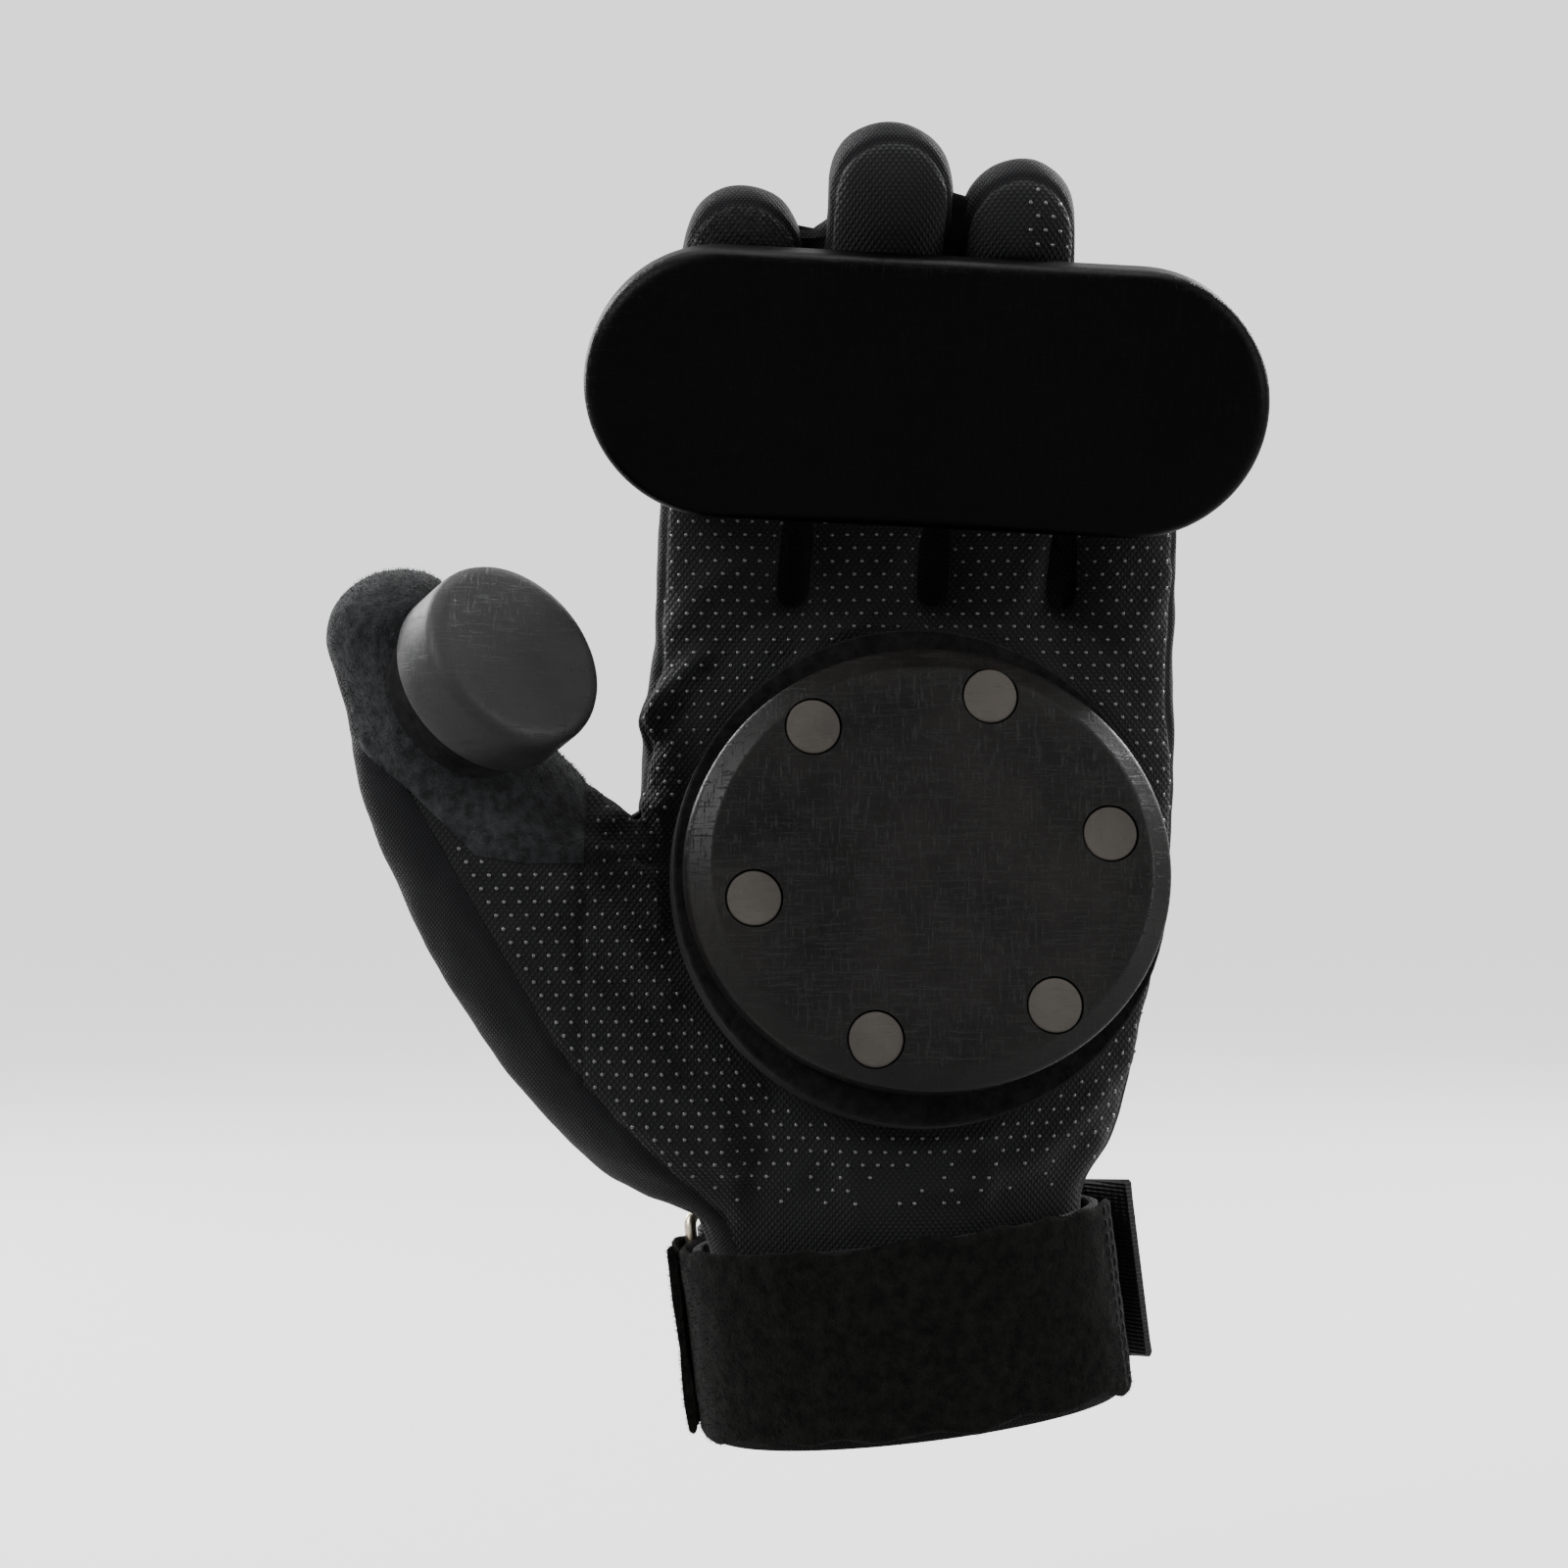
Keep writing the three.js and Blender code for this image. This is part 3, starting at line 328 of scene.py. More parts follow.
def finger_rows(finger):
    base, tip, length, width, bend = FINGERS[finger][:5]
    top = finger_root + FINGER_LENGTH * length
    cap = top - FINGERTIP * math.cos(math.radians(TIP_LEAN))
    straight_end = min(cap, straight_top)
    side_lean = PALM_WIDTH * (tip - base) / (FINGER_LENGTH * length)

    def at(z, lean, share):
        direction = (side_lean, -math.tan(math.radians(lean)), 1)
        return section((finger_x(finger, z), float(finger_line(z)), z), direction, 0,
                       FINGER_WIDTH * width * share / 2, FINGER_FRONT,
                       FINGER_BACK * min(width + 0.06, 1), 2.3)

    rows = []
    for along, share in FINGER_SECTIONS:
        z = finger_root + along * (straight_end - finger_root)
        rows.append(at(z, 0 if along < 0 else FINGER_LEAN, share))
    if bend:
        rows.append(at(cap, TIP_LEAN, 0.88))
    return rows


thumb_points = np.array([(-row[0] * THUMB_OUT, -row[1] * THUMB_FORWARD, row[2] * THUMB_UP)
                         for row in THUMB_SECTIONS])


def thumb_section(i):
    width, front, back, turn = THUMB_SECTIONS[i][3:]
    direction = thumb_points[min(i + 1, len(thumb_points) - 1)] - thumb_points[max(i - 1, 0)]
    return section(thumb_points[i], direction, turn, width * THUMB_WIDTH / 2,
                   front * THUMB_DEPTH, back * THUMB_DEPTH, 2.2)


def hand_lofts():
    thumb_rows = [thumb_section(i) for i in range(len(THUMB_SECTIONS))]
    tubes = [loft(palm_rows(), 96, 5), loft(thumb_rows, 56, 6, THUMBTIP)]
    tubes += [loft(finger_rows(name), 48, 6, FINGERTIP) for name in FINGERS]
    return joined(tubes)


print("lofts", len(hand_lofts()[0]), "points")

# %% Melt the tubes into one skin
def spread_mean(values, edges, times, share=0.5):
    """Values at the points, drawn towards the mean of their neighbours."""
    count = len(values)
    degree = np.bincount(edges.ravel(), minlength=count)[:, None]
    for _ in range(times):
        total = np.zeros_like(values)
        for k in range(values.shape[1]):
            total[:, k] = (np.bincount(edges[:, 0], values[edges[:, 1], k], count)
                           + np.bincount(edges[:, 1], values[edges[:, 0], k], count))
        values = values + share * (total / np.maximum(degree, 1) - values)
    return values


def point_normals(points, quads):
    across = points[quads[:, 2]] - points[quads[:, 0]]
    along = points[quads[:, 3]] - points[quads[:, 1]]
    flat = np.cross(across, along)
    total = np.zeros_like(points)
    for k in range(quads.shape[1]):
        for axis in range(3):
            total[:, axis] += np.bincount(quads[:, k], flat[:, axis], len(points))
    return unit(total)


def skin(voxel, softness):
    """Points, quads and edges of the melted hand, with softened webs."""
    obj = put("lofts", *hand_lofts())
    remesh = obj.modifiers.new("melt", "REMESH")
    remesh.mode = "VOXEL"
    remesh.voxel_size = voxel * MM
    graph = bpy.context.evaluated_depsgraph_get()
    mesh = bpy.data.meshes.new_from_object(obj.evaluated_get(graph))
    points = np.empty(len(mesh.vertices) * 3, np.float32)
    mesh.vertices.foreach_get("co", points)
    points = points.reshape(-1, 3).astype(float) / MM
    edges = np.empty(len(mesh.edges) * 2, np.int32)
    mesh.edges.foreach_get("vertices", edges)
    quads = np.array([tuple(face.vertices) for face in mesh.polygons])
    bpy.data.objects.remove(obj)
    edges = edges.reshape(-1, 2)
    points = spread_mean(points, edges, softness)
    return points, quads, edges


OUTER_VOXEL = 0.85
OUTER_SOFTNESS, NORMAL_SOFTNESS = 7, 12
form, form_quads, form_edges = skin(OUTER_VOXEL, OUTER_SOFTNESS)
form_normals = point_normals(form, form_quads)
soft_normals = unit(spread_mean(form_normals, form_edges, NORMAL_SOFTNESS))
form_tree = BVHTree.FromPolygons(form.tolist(), form_quads.tolist())
print("skin", len(form), "points, box", form.min(0).round(1), form.max(0).round(1))

# %% [markdown]
# ## Where the skin is covered, sewn and folded
# Sliders and armour press on the cloth, so it lies smooth under them. Seams sink, and the worn
# glove folds at the thumb's web, round the palm slider and above the strap. Each fold is a row of
# a table: a line on the palm or the back, its height and its width.

# %% Frames of the sliders, from the mounts on their faces
PALM_PUCK, PALM_PUCK_HEIGHT, PALM_PUCK_THICKNESS, PALM_PAD_RIM = 90.0, 82.0, 11.0, 1.5
BAR_LENGTH, BAR_WIDTH, BAR_THICKNESS, BAR_ROLL = 125.0, 49.0, 12.0, 3.0
THUMB_PUCK, THUMB_PUCK_THICKNESS, THUMB_PAD = 37.0, 12.5, 32.0


class Seat:
    """A place on a slider's face: side and up lie in the face, and out points away from the hand."""

    def __init__(self, mount, roll=0.0):
        self.place = np.array(mounts[mount]["pos_m"]) / MM
        self.out = unit(mounts[mount]["axis"])
        up = unit(np.array([0, 0, 1]) - self.out * self.out[2])
        side = np.cross(up, self.out)
        turn = math.radians(-roll)
        self.side = side * math.cos(turn) + up * math.sin(turn)
        self.up = up * math.cos(turn) - side * math.sin(turn)

    def put(self, flat, height):
        """Points in the face's own plane, raised to a height, as points of the glove."""
        flat = np.atleast_2d(flat)
        height = np.broadcast_to(height, len(flat))
        return (self.place + np.outer(flat[:, 0], self.side) + np.outer(flat[:, 1], self.up)
                + np.outer(height, self.out))

    def flat(self, points):
        away = np.atleast_2d(points) - self.place
        return np.column_stack([away @ self.side, away @ self.up, away @ self.out])


palm_seat = Seat("palm_slider_face")
bar_seat = Seat("finger_slider_face", BAR_ROLL)
thumb_seat = Seat("thumb_slider_face")
print("palm slider face", palm_seat.place.round(1), "out", palm_seat.out.round(3))

# %% Outlines on the back, and seam lines of the thumb
def shares(rows, width, height, x, z):
    return np.array(rows) * (width, height) + (x, z)


def circle(radius, count=64):
    angle = turns(count)
    return radius * np.column_stack([np.cos(angle), np.sin(angle)])


def stadium(length, width, pitch=1.5):
    """A rounded bar's outline, lying along the first axis."""
    radius, middle = width / 2, (length - width) / 2
    angle = np.linspace(-math.pi / 2, math.pi / 2, 40)
    right = np.column_stack([middle + radius * np.cos(angle), radius * np.sin(angle)])
    return spaced(np.vstack([right, -right]), pitch, closed=True)


PLATE_WIDTH, PLATE_HEIGHT, PLATE_THICKNESS = 90.0, 86.0, 2.0
plate_x, plate_z = -3.0, 104.5
PLATE_OUTLINE = [
    (-0.5, -0.01), (-0.44, 0.26), (-0.325, 0.45), (-0.23, 0.42), (-0.18, 0.36), (-0.13, 0.44),
    (-0.05, 0.5), (0.03, 0.46), (0.09, 0.36), (0.14, 0.44), (0.22, 0.49), (0.29, 0.43),
    (0.34, 0.33), (0.42, 0.4), (0.48, 0.26), (0.5, 0.03), (0.46, -0.12), (0.4, -0.34),
    (0.33, -0.46), (0.22, -0.5), (0.04, -0.43), (-0.16, -0.47), (-0.33, -0.43), (-0.44, -0.3),
]
plate_line = curve(shares(PLATE_OUTLINE, PLATE_WIDTH, PLATE_HEIGHT, plate_x, plate_z), 10,
                   closed=True)

BADGE_WIDTH, BADGE_LENGTH = 18.0, 26.0
BADGE_OUTLINE = [
    (-0.06, 0.5), (0.1, 0.46), (0.36, 0.12), (0.5, -0.4), (0.26, -0.36), (0, -0.5),
    (-0.26, -0.36), (-0.5, -0.4), (-0.38, 0.12), (-0.2, 0.44),
]
GUARD_WIDTH, GUARD_LENGTH, GUARD_RIM = 19.0, 28.0, 3.2

guard_places, badge_places = {}, {}
for name, (*_place, width, _bend, guard, badge) in FINGERS.items():
    guard_z = finger_root + guard * FINGER_LENGTH
    badge_z = finger_root + badge * FINGER_LENGTH
    guard_places[name] = (finger_x(name, guard_z), guard_z, GUARD_WIDTH * min(width, 1))
    badge_places[name] = (finger_x(name, badge_z), badge_z, BADGE_WIDTH * width)

THUMB_ZONE = np.array([(1.3, 1.3), (0.62, 1.3), (0.62, 0.74), (0.62, 0.44), (0.365, 0.26),
                       (0.33, 0.2), (0.28, -0.2), (1.3, -0.2)]) * (-THUMB_OUT, THUMB_UP)
GRIP_WEDGE = np.array([(0.6, 0.44), (0.64, 0.46), (0.76, 0.6), (0.93, 0.8), (0.81, 0.72),
                       (0.72, 0.71), (0.6, 0.71)]) * (-THUMB_OUT, THUMB_UP)
FLEECE_ZONE = np.array([(1.3, 1.3), (0.5, 1.3), (0.5, 0.71), (0.72, 0.71), (0.81, 0.72),
                        (0.93, 0.8), (1.3, 1.0)]) * (-THUMB_OUT, THUMB_UP)
print("plate", plate_line.min(0).round(1), plate_line.max(0).round(1))

# %% Distances to lines and zones
def to_line(flat, line, closed=False):
    """The distance of each place to a line."""
    line = np.asarray(line, float)
    if closed:
        line = np.vstack([line, line[:1]])
    best = np.full(len(flat), 1e9)
    for a, b in zip(line[:-1], line[1:]):
        along = b - a
        share = np.clip((flat - a) @ along / max(along @ along, 1e-9), 0, 1)
        best = np.minimum(best, np.linalg.norm(flat - a - share[:, None] * along, axis=1))
    return best


def inside(flat, line):
    """Whether each place is inside a closed line."""
    x, z = flat[:, 0], flat[:, 1]
    odd = np.zeros(len(flat), bool)
    for (x1, z1), (x2, z2) in zip(line, np.roll(line, -1, 0)):
        if z1 != z2:
            odd ^= ((z1 > z) != (z2 > z)) & (x < (x2 - x1) * (z - z1) / (z2 - z1) + x1)
    return odd


def depth_in(flat, line):
    """How deep inside a closed line each place is; below zero outside it."""
    away = to_line(flat, line, closed=True)
    return np.where(inside(flat, line), away, -away)


PRESS_EDGE, PUCK_REACH, BAR_REACH = 3, 30, 17


def pressed(points, normals):
    """1 where something hard lies on the cloth, falling to 0 a few millimetres beyond it."""
    flat = points[:, [0, 2]]
    back = normals[:, 1] > -0.2
    cover = np.zeros(len(points))
    for line in [plate_line, *guard_lines, *badge_lines]:
        under = soft_step(depth_in(flat, line), -PRESS_EDGE, GAP)
        cover = np.maximum(cover, np.where(back, under, 0))
    for seat, radius in ((palm_seat, PALM_PUCK / 2 + PALM_PAD_RIM), (thumb_seat, THUMB_PAD / 2)):
        away = seat.flat(points)
        near = (away[:, 2] < 0) & (away[:, 2] > -PUCK_REACH)
        under = 1 - soft_step(np.hypot(away[:, 0], away[:, 1]), radius, radius + PRESS_EDGE)
        cover = np.maximum(cover, np.where(near & ~back, under, 0))
    away = bar_seat.flat(points)
    under = depth_in(away[:, :2], stadium(BAR_LENGTH, BAR_WIDTH, 4))
    return np.maximum(cover, np.where(~back & (under > 0) & (away[:, 2] > -BAR_REACH), 1, 0))


guard_lines = [stadium(GUARD_LENGTH, width)[:, ::-1] + (x, z)
               for x, z, width in guard_places.values()]
badge_lines = [shares(BADGE_OUTLINE, width, BADGE_LENGTH, x, z)
               for x, z, width in badge_places.values()]
print("share of the skin under hard pieces", round(float(pressed(form, form_normals).mean()), 3))

# %% Folds and seams
# side -1 is the palm and 1 the back; a line of x and z, height and width in millimetres
FOLDS = [
    (-1, [(-25, 140), (-24, 156), (-23, 168)], -1.3, 4.2),
    (-1, [(1.5, 142), (2, 158), (3, 168)], -1.3, 4.2),
    (-1, [(26, 140), (26.5, 156), (27, 166)], -1.2, 4.2),
    (-1, [(-54, 132), (-48, 139), (-42, 146)], 2.2, 2.4),
    (-1, [(-58, 124), (-51, 130), (-45, 136)], -1.1, 2.2),
    (-1, [(-60, 115), (-53, 118), (-47, 117)], 1.3, 2.2),
    (-1, [(-63, 110), (-55, 106), (-48, 97)], 1.6, 2.6),
    (-1, [(-67, 102), (-58, 96), (-48, 83)], 1.5, 2.8),
    (-1, [(-75, 95), (-62, 84), (-48, 70)], 1.4, 3.0),
    (-1, [(-66, 78), (-52, 68), (-38, 59)], 1.3, 3.0),
    (-1, [(-54, 60), (-40, 53), (-24, 49)], 1.2, 2.8),
    (-1, [(-30, 60), (-8, 53), (12, 57)], 1.2, 3.0),
    (-1, [(2, 47), (18, 51), (34, 64)], 1.3, 2.8),
    (-1, [(50, 106), (47, 88), (39, 70)], 1.1, 2.8),
    (-1, [(-46, 152), (-40, 160), (-30, 166)], 1.0, 2.6),
    (-1, [(-14, 150), (-8, 158), (-4, 168)], 0.9, 2.4),
    (-1, [(14, 150), (19, 158), (22, 168)], 0.9, 2.4),
    (-1, [(36, 144), (42, 152), (46, 162)], 0.9, 2.4),
    (-1, [(-34, 41), (-38, 56)], 1.2, 2.4),
    (-1, [(-12, 39), (-14, 51)], 1.0, 2.2),
    (-1, [(10, 39), (12, 50)], 1.2, 2.2),
    (-1, [(26, 42), (33, 55)], 1.2, 2.4),
    (-1, [(-86, 104), (-78, 92), (-68, 76)], 1.1, 3.4),
    (1, [(-25, 134), (-24, 148), (-23, 160)], -1.1, 3.4),
    (1, [(1.5, 146), (2, 156), (2.5, 164)], -1.1, 3.4),
    (1, [(26, 138), (26.5, 150), (27, 160)], -1.1, 3.4),
    (1, [(-44, 55), (-12, 49), (34, 54)], 1.7, 3.0),
    (1, [(-46, 64), (-22, 58), (8, 60)], 1.1, 2.8),
    (1, [(12, 58), (26, 60), (36, 66)], 1.0, 2.6),
    (1, [(-62, 100), (-53, 86), (-46, 66)], 1.6, 3.4),
    (1, [(-58, 118), (-53, 108), (-50, 96)], 1.2, 2.8),
    (1, [(-76, 102), (-64, 82), (-54, 62)], 1.2, 3.4),
    (1, [(-90, 116), (-80, 104), (-72, 92)], 1.1, 3.0),
]
# creases of the knuckles: share of the finger's length, and height
CREASES = [(0.36, -1.2), (0.42, -0.9), (0.47, -0.6), (0.76, -0.6)]
CREASE_HALF, CREASE_WIDTH = 12, 1.5
for name, (_base, _tip, length, *_rest) in FINGERS.items():
    for share, height in CREASES:
        joint = finger_root + FINGER_LENGTH * length * share
        x = finger_x(name, joint)
        line = [(x - CREASE_HALF, joint - 1), (x, joint + 1), (x + CREASE_HALF, joint - 1)]
        FOLDS.append((1, line, height, CREASE_WIDTH))
THUMB_SEAM = THUMB_ZONE[1:7]
FLEECE_SEAM = FLEECE_ZONE[2:7]
WEDGE_SEAM = GRIP_WEDGE[1:4]
SEAM_DEPTH, STRIP_SEAM, THUMB_SEAM_WIDTH = 0.55, 0.95, 1.0
# height, size and seed of the cloth's own unevenness
UNEVEN = [(0.7, 17.0, 3.1), (0.3, 6.5, 8.7)]
# the share of a dip lost under a hard piece, and how far the cloth gives way there
DIP_LOST, GIVE_WAY = 0.75, 0.15


def lumps(points, size, seed):
    scaled = points / size + seed
    return np.array([noise.noise(row) for row in scaled.tolist()])


def relief(points, normals, fine=True):
    """How far the cloth stands out from the smooth hand."""
    flat = points[:, [0, 2]]
    palm_side = soft_step(-normals[:, 1], -0.1, 0.5)
    back_side = soft_step(normals[:, 1], -0.1, 0.5)
    height = np.zeros(len(points))
    for side, line, rise, width in FOLDS:
        facing = palm_side if side < 0 else back_side
        away = to_line(flat, curve(line, 4))
        height += facing * rise * np.exp(-(away / width) ** 2)
    if fine:
        height += sum(rise * lumps(points, size, seed) for rise, size, seed in UNEVEN)
    cover = pressed(points, normals)
    height = (np.minimum(height, 0) * (1 - DIP_LOST * cover) + np.maximum(height, 0) * (1 - cover)
              - GIVE_WAY * cover)
    above_cuff = soft_step(points @ wrist_axis, CUFF_HEIGHT - 1, CUFF_HEIGHT + 9)
    height *= above_cuff
    middle = points[:, 1] - finger_line(points[:, 2])
    on_hand = 1 - soft_step(-points[:, 0], 60, 66)
    for edge in (-GUSSET_WIDTH / 2, GUSSET_WIDTH / 2):
        groove = np.exp(-((middle - edge) / STRIP_SEAM) ** 2)
        height -= SEAM_DEPTH * above_cuff * on_hand * groove
    for line, facing in ((THUMB_SEAM, 1), (FLEECE_SEAM, palm_side), (WEDGE_SEAM, palm_side)):
        groove = np.exp(-(to_line(flat, line) / THUMB_SEAM_WIDTH) ** 2)
        height -= SEAM_DEPTH * above_cuff * facing * groove
    return height


cloth_points = form + form_normals * relief(form, form_normals)[:, None]
cloth_normals = point_normals(cloth_points, form_quads)
cloth_tree = BVHTree.FromPolygons(cloth_points.tolist(), form_quads.tolist())
moved = cloth_points - form
print("relief from", moved.min().round(2), "to", moved.max().round(2), "mm")

# %% [markdown]
# ## Cutting the cloth into its panels
# The glove is sewn from a dotted palm, a knit back, a strip between them, and the thumb's two
# cloths. The skin gets an inner side, and prisms cut the hollow shell along the seam lines. Exact
# cuts leave the narrow gap of a seam, which a painted line could not.

# %% Solids that cut
REACH = 400.0


def block(name, points_low, points_high):
    return facing_out(put(name, *ringed([points_low, points_high])))


def through(line, grow=0.0):
    """A prism through the hand from palm to back, over a zone in x and z listed clockwise."""
    along = unit(np.roll(line, -1, 0) - line)
    outward = np.column_stack([-along[:, 1], along[:, 0]])
    before = np.roll(outward, 1, 0)
    mitre = (before + outward) / (1 + (before * outward).sum(1))[:, None]
    grown = line + mitre * grow
    low = np.column_stack([grown[:, 0], np.full(len(grown), -REACH), grown[:, 1]])
    high = low + (0, 2 * REACH, 0)
    return block("prism", low, high)


def in_front(distance):
    """Everything on the palm side of the fingers' middle, moved back by a distance."""
    z = np.concatenate([[-REACH / 4], np.linspace(root_start, finger_root, 8),
                        [straight_top], [REACH]])
    y = finger_line(z) + distance
    rows = np.vstack([[(-REACH, -REACH / 4)], np.column_stack([y, z]), [(-REACH, REACH)]])
    low = np.column_stack([np.full(len(rows), -REACH), rows])
    return block("front", low, low + (2 * REACH, 0, 0))


def thumb_front_block(distance):
    row = thumb_section(THUMB_MIDDLE)
    centre, across, palmar, spine = row[0:3], row[3:6], row[6:9], row[13:16]
    square = np.array([(-1, -1), (1, -1), (1, 1), (-1, 1)]) * REACH
    low = centre + palmar * distance + np.outer(square[:, 0], across) + np.outer(square[:, 1], spine)
    return block("thumb front", low, low + palmar * REACH)


def cut(piece, tool, how, keep_tool=False):
    change = piece.modifiers.new("cut", "BOOLEAN")
    change.operation = how
    change.solver = "MANIFOLD"
    change.object = tool
    graph = bpy.context.evaluated_depsgraph_get()
    mesh = bpy.data.meshes.new_from_object(piece.evaluated_get(graph))
    piece.modifiers.clear()
    piece.data = mesh
    if not keep_tool:
        bpy.data.objects.remove(tool)
    return piece


def copied(obj, name):
    twin = bpy.data.objects.new(name, obj.data.copy())
    bpy.context.collection.objects.link(twin)
    return twin


# %% The hollow shell
INNER_VOXEL, INNER_SOFTNESS, INNER_RISE, INNER_SLACK = 2.2, 3, 0.2, 0.1
inner, inner_quads, _edges = skin(INNER_VOXEL, INNER_SOFTNESS)
inner_normals = point_normals(inner, inner_quads)
deep = relief(inner, inner_normals, fine=False)
inner = inner + inner_normals * (np.minimum(deep, INNER_RISE) - CLOTH - INNER_SLACK)[:, None]
shell_points = np.vstack([cloth_points, inner])
shell_faces = form_quads.tolist() + (inner_quads[:, ::-1] + len(cloth_points)).tolist()
shell = put("shell", shell_points, shell_faces)
opening = np.array([(-REACH, -REACH), (REACH, -REACH), (REACH, REACH), (-REACH, REACH)], float)
level = wrist_axis * CUFF_PADDING
side_axis, depth_axis = np.cross([0, 1, 0], wrist_axis), np.array([0, 1, 0])
floor_of_cloth = level + np.outer(opening[:, 0], side_axis) + np.outer(opening[:, 1], depth_axis)
cut(shell, block("opening", floor_of_cloth, floor_of_cloth + wrist_axis * REACH), "INTERSECT")
print("shell faces", len(shell.data.polygons))

# %% Panels
half_gusset = GUSSET_WIDTH / 2
hand = cut(copied(shell, "hand"), through(THUMB_ZONE, SEAM), "DIFFERENCE")
wedge = cut(through(GRIP_WEDGE), thumb_front_block(SEAM), "INTERSECT")
wedge_seam = cut(through(GRIP_WEDGE, SEAM), thumb_front_block(0), "INTERSECT")
thumb = cut(copied(shell, "thumb"), through(THUMB_ZONE), "INTERSECT")
cut(thumb, wedge_seam, "DIFFERENCE", keep_tool=True)
palm_cloth = cut(copied(hand, "palm_cloth"), in_front(-half_gusset), "INTERSECT")
cut(palm_cloth, cut(shell, wedge, "INTERSECT"), "UNION")
back_knit = cut(copied(hand, "back_knit"), in_front(half_gusset), "DIFFERENCE")
gusset = cut(hand, in_front(half_gusset - SEAM), "INTERSECT")
cut(gusset, in_front(SEAM - half_gusset), "DIFFERENCE")
cut(gusset, wedge_seam, "DIFFERENCE")
gusset.name = "finger_gusset"
fleece_part = cut(through(FLEECE_ZONE), thumb_front_block(SEAM), "INTERSECT")
thumb_fleece = cut(copied(thumb, "thumb_fleece"), fleece_part, "INTERSECT")
fleece_seam = cut(through(FLEECE_ZONE, SEAM), thumb_front_block(0), "INTERSECT")
thumb_cloth = cut(thumb, fleece_seam, "DIFFERENCE")
thumb_cloth.name = "thumb_cloth"
for panel in (palm_cloth, back_knit, gusset, thumb_fleece, thumb_cloth):
    panel.data.shade_smooth()
    panel.data.set_sharp_from_angle(angle=math.radians(50))
    print(panel.name, len(panel.data.polygons), "faces")

# %% [markdown]
# ## Shader arithmetic
# A wrapped socket lets a mask be written as plain arithmetic, such as `1 - mask * 0.3`. Each
# operator adds one Math node. Anything else comes from `node`, which takes the settings first.

# %% The socket class
class Socket:
    """An output socket that arithmetic works on."""

    def __init__(self, finish, output):
        self.finish, self.output = finish, output

    def maths(self, operation, first, second):
        return self.finish.node("ShaderNodeMath", {"operation": operation}, {0: first, 1: second})

    def __add__(self, other):
        return self.maths("ADD", self, other)

    def __radd__(self, other):
        return self.maths("ADD", other, self)

    def __sub__(self, other):
        return self.maths("SUBTRACT", self, other)

    def __rsub__(self, other):
        return self.maths("SUBTRACT", other, self)

    def __mul__(self, other):
        return self.maths("MULTIPLY", self, other)

    def __rmul__(self, other):
        return self.maths("MULTIPLY", other, self)


WAVE_STRETCH = 20    # the wave texture runs one turn over this share of its scale


class Finish:
    """One material: a Principled shader, its fixed numbers, and nodes that vary over the surface."""

    def __init__(self, name, **fixed):
        self.material = bpy.data.materials.new(name)
        self.material.use_nodes = True
        self.nodes = self.material.node_tree.nodes
        self.links = self.material.node_tree.links
        self.shader = self.nodes["Principled BSDF"]
        for socket, value in fixed.items():
            self.shader.inputs[socket.replace("_", " ")].default_value = value
        self.place = self.node("ShaderNodeTexCoord", {}, {}, "Object")

    def node(self, kind, settings, sockets, output=0):
        made = self.nodes.new(kind)
        for setting, value in settings.items():
            setattr(made, setting, value)
        for socket, value in sockets.items():
            if isinstance(value, Socket):
                self.links.new(value.output, made.inputs[socket])
            else:
                made.inputs[socket].default_value = value
        return Socket(self, made.outputs[output])

    def feed(self, socket, value):
        self.links.new(value.output, self.shader.inputs[socket])

    def speckle(self, scale, detail=3.0, rough=0.5, stretch=(1, 1, 1)):
        spread = self.node("ShaderNodeMapping", {}, {"Vector": self.place, "Scale": stretch})
        return self.node("ShaderNodeTexNoise", {}, {"Vector": spread, "Scale": scale,
                                                    "Detail": detail, "Roughness": rough}, "Fac")

    def waves(self, pitch_mm, direction, turn=(0, 0, 0)):
        """Even stripes, a pitch apart along x, y or z of the turned place."""
        turned = self.node("ShaderNodeMapping", {}, {
            "Vector": self.place, "Rotation": tuple(math.radians(a) for a in turn)})
        scale = 2 * math.pi / (WAVE_STRETCH * pitch_mm * MM)
        return self.node("ShaderNodeTexWave", {"bands_direction": direction},
                         {"Vector": turned, "Scale": scale}, "Fac")

    def ramp(self, value, low, high):
        """Black below the low value and white above the high one."""
        made = self.node("ShaderNodeValToRGB", {}, {"Fac": value}, "Color")
        for element, at in zip(made.output.node.color_ramp.elements, (low, high)):
            element.position = at
        return made

    def mix(self, share, first, second):
        """Two colours mixed: the Mix node's sockets 6 and 7 take colours, and 2 gives one."""
        return self.node("ShaderNodeMix", {"data_type": "RGBA"}, {0: share, 6: first, 7: second}, 2)

    def bump(self, height, depth_mm):
        self.feed("Normal", self.node("ShaderNodeBump", {}, {
            "Height": height, "Distance": depth_mm * MM, "Strength": 1.0}))


def shade(r, g, b):
    return (r, g, b, 1.0)


def grey(level):
    return (level, level, level, 1.0)


# %% [markdown]
# ## Cloth finishes
# The back is a blue-black knit with a small diamond weave, the palm a plainer black knit, and
# the strip and thumb a fine stretch cloth. Cloth needs sheen, since fibres that stand at the
# surface catch light at the edges; the weave itself is far too fine for geometry.

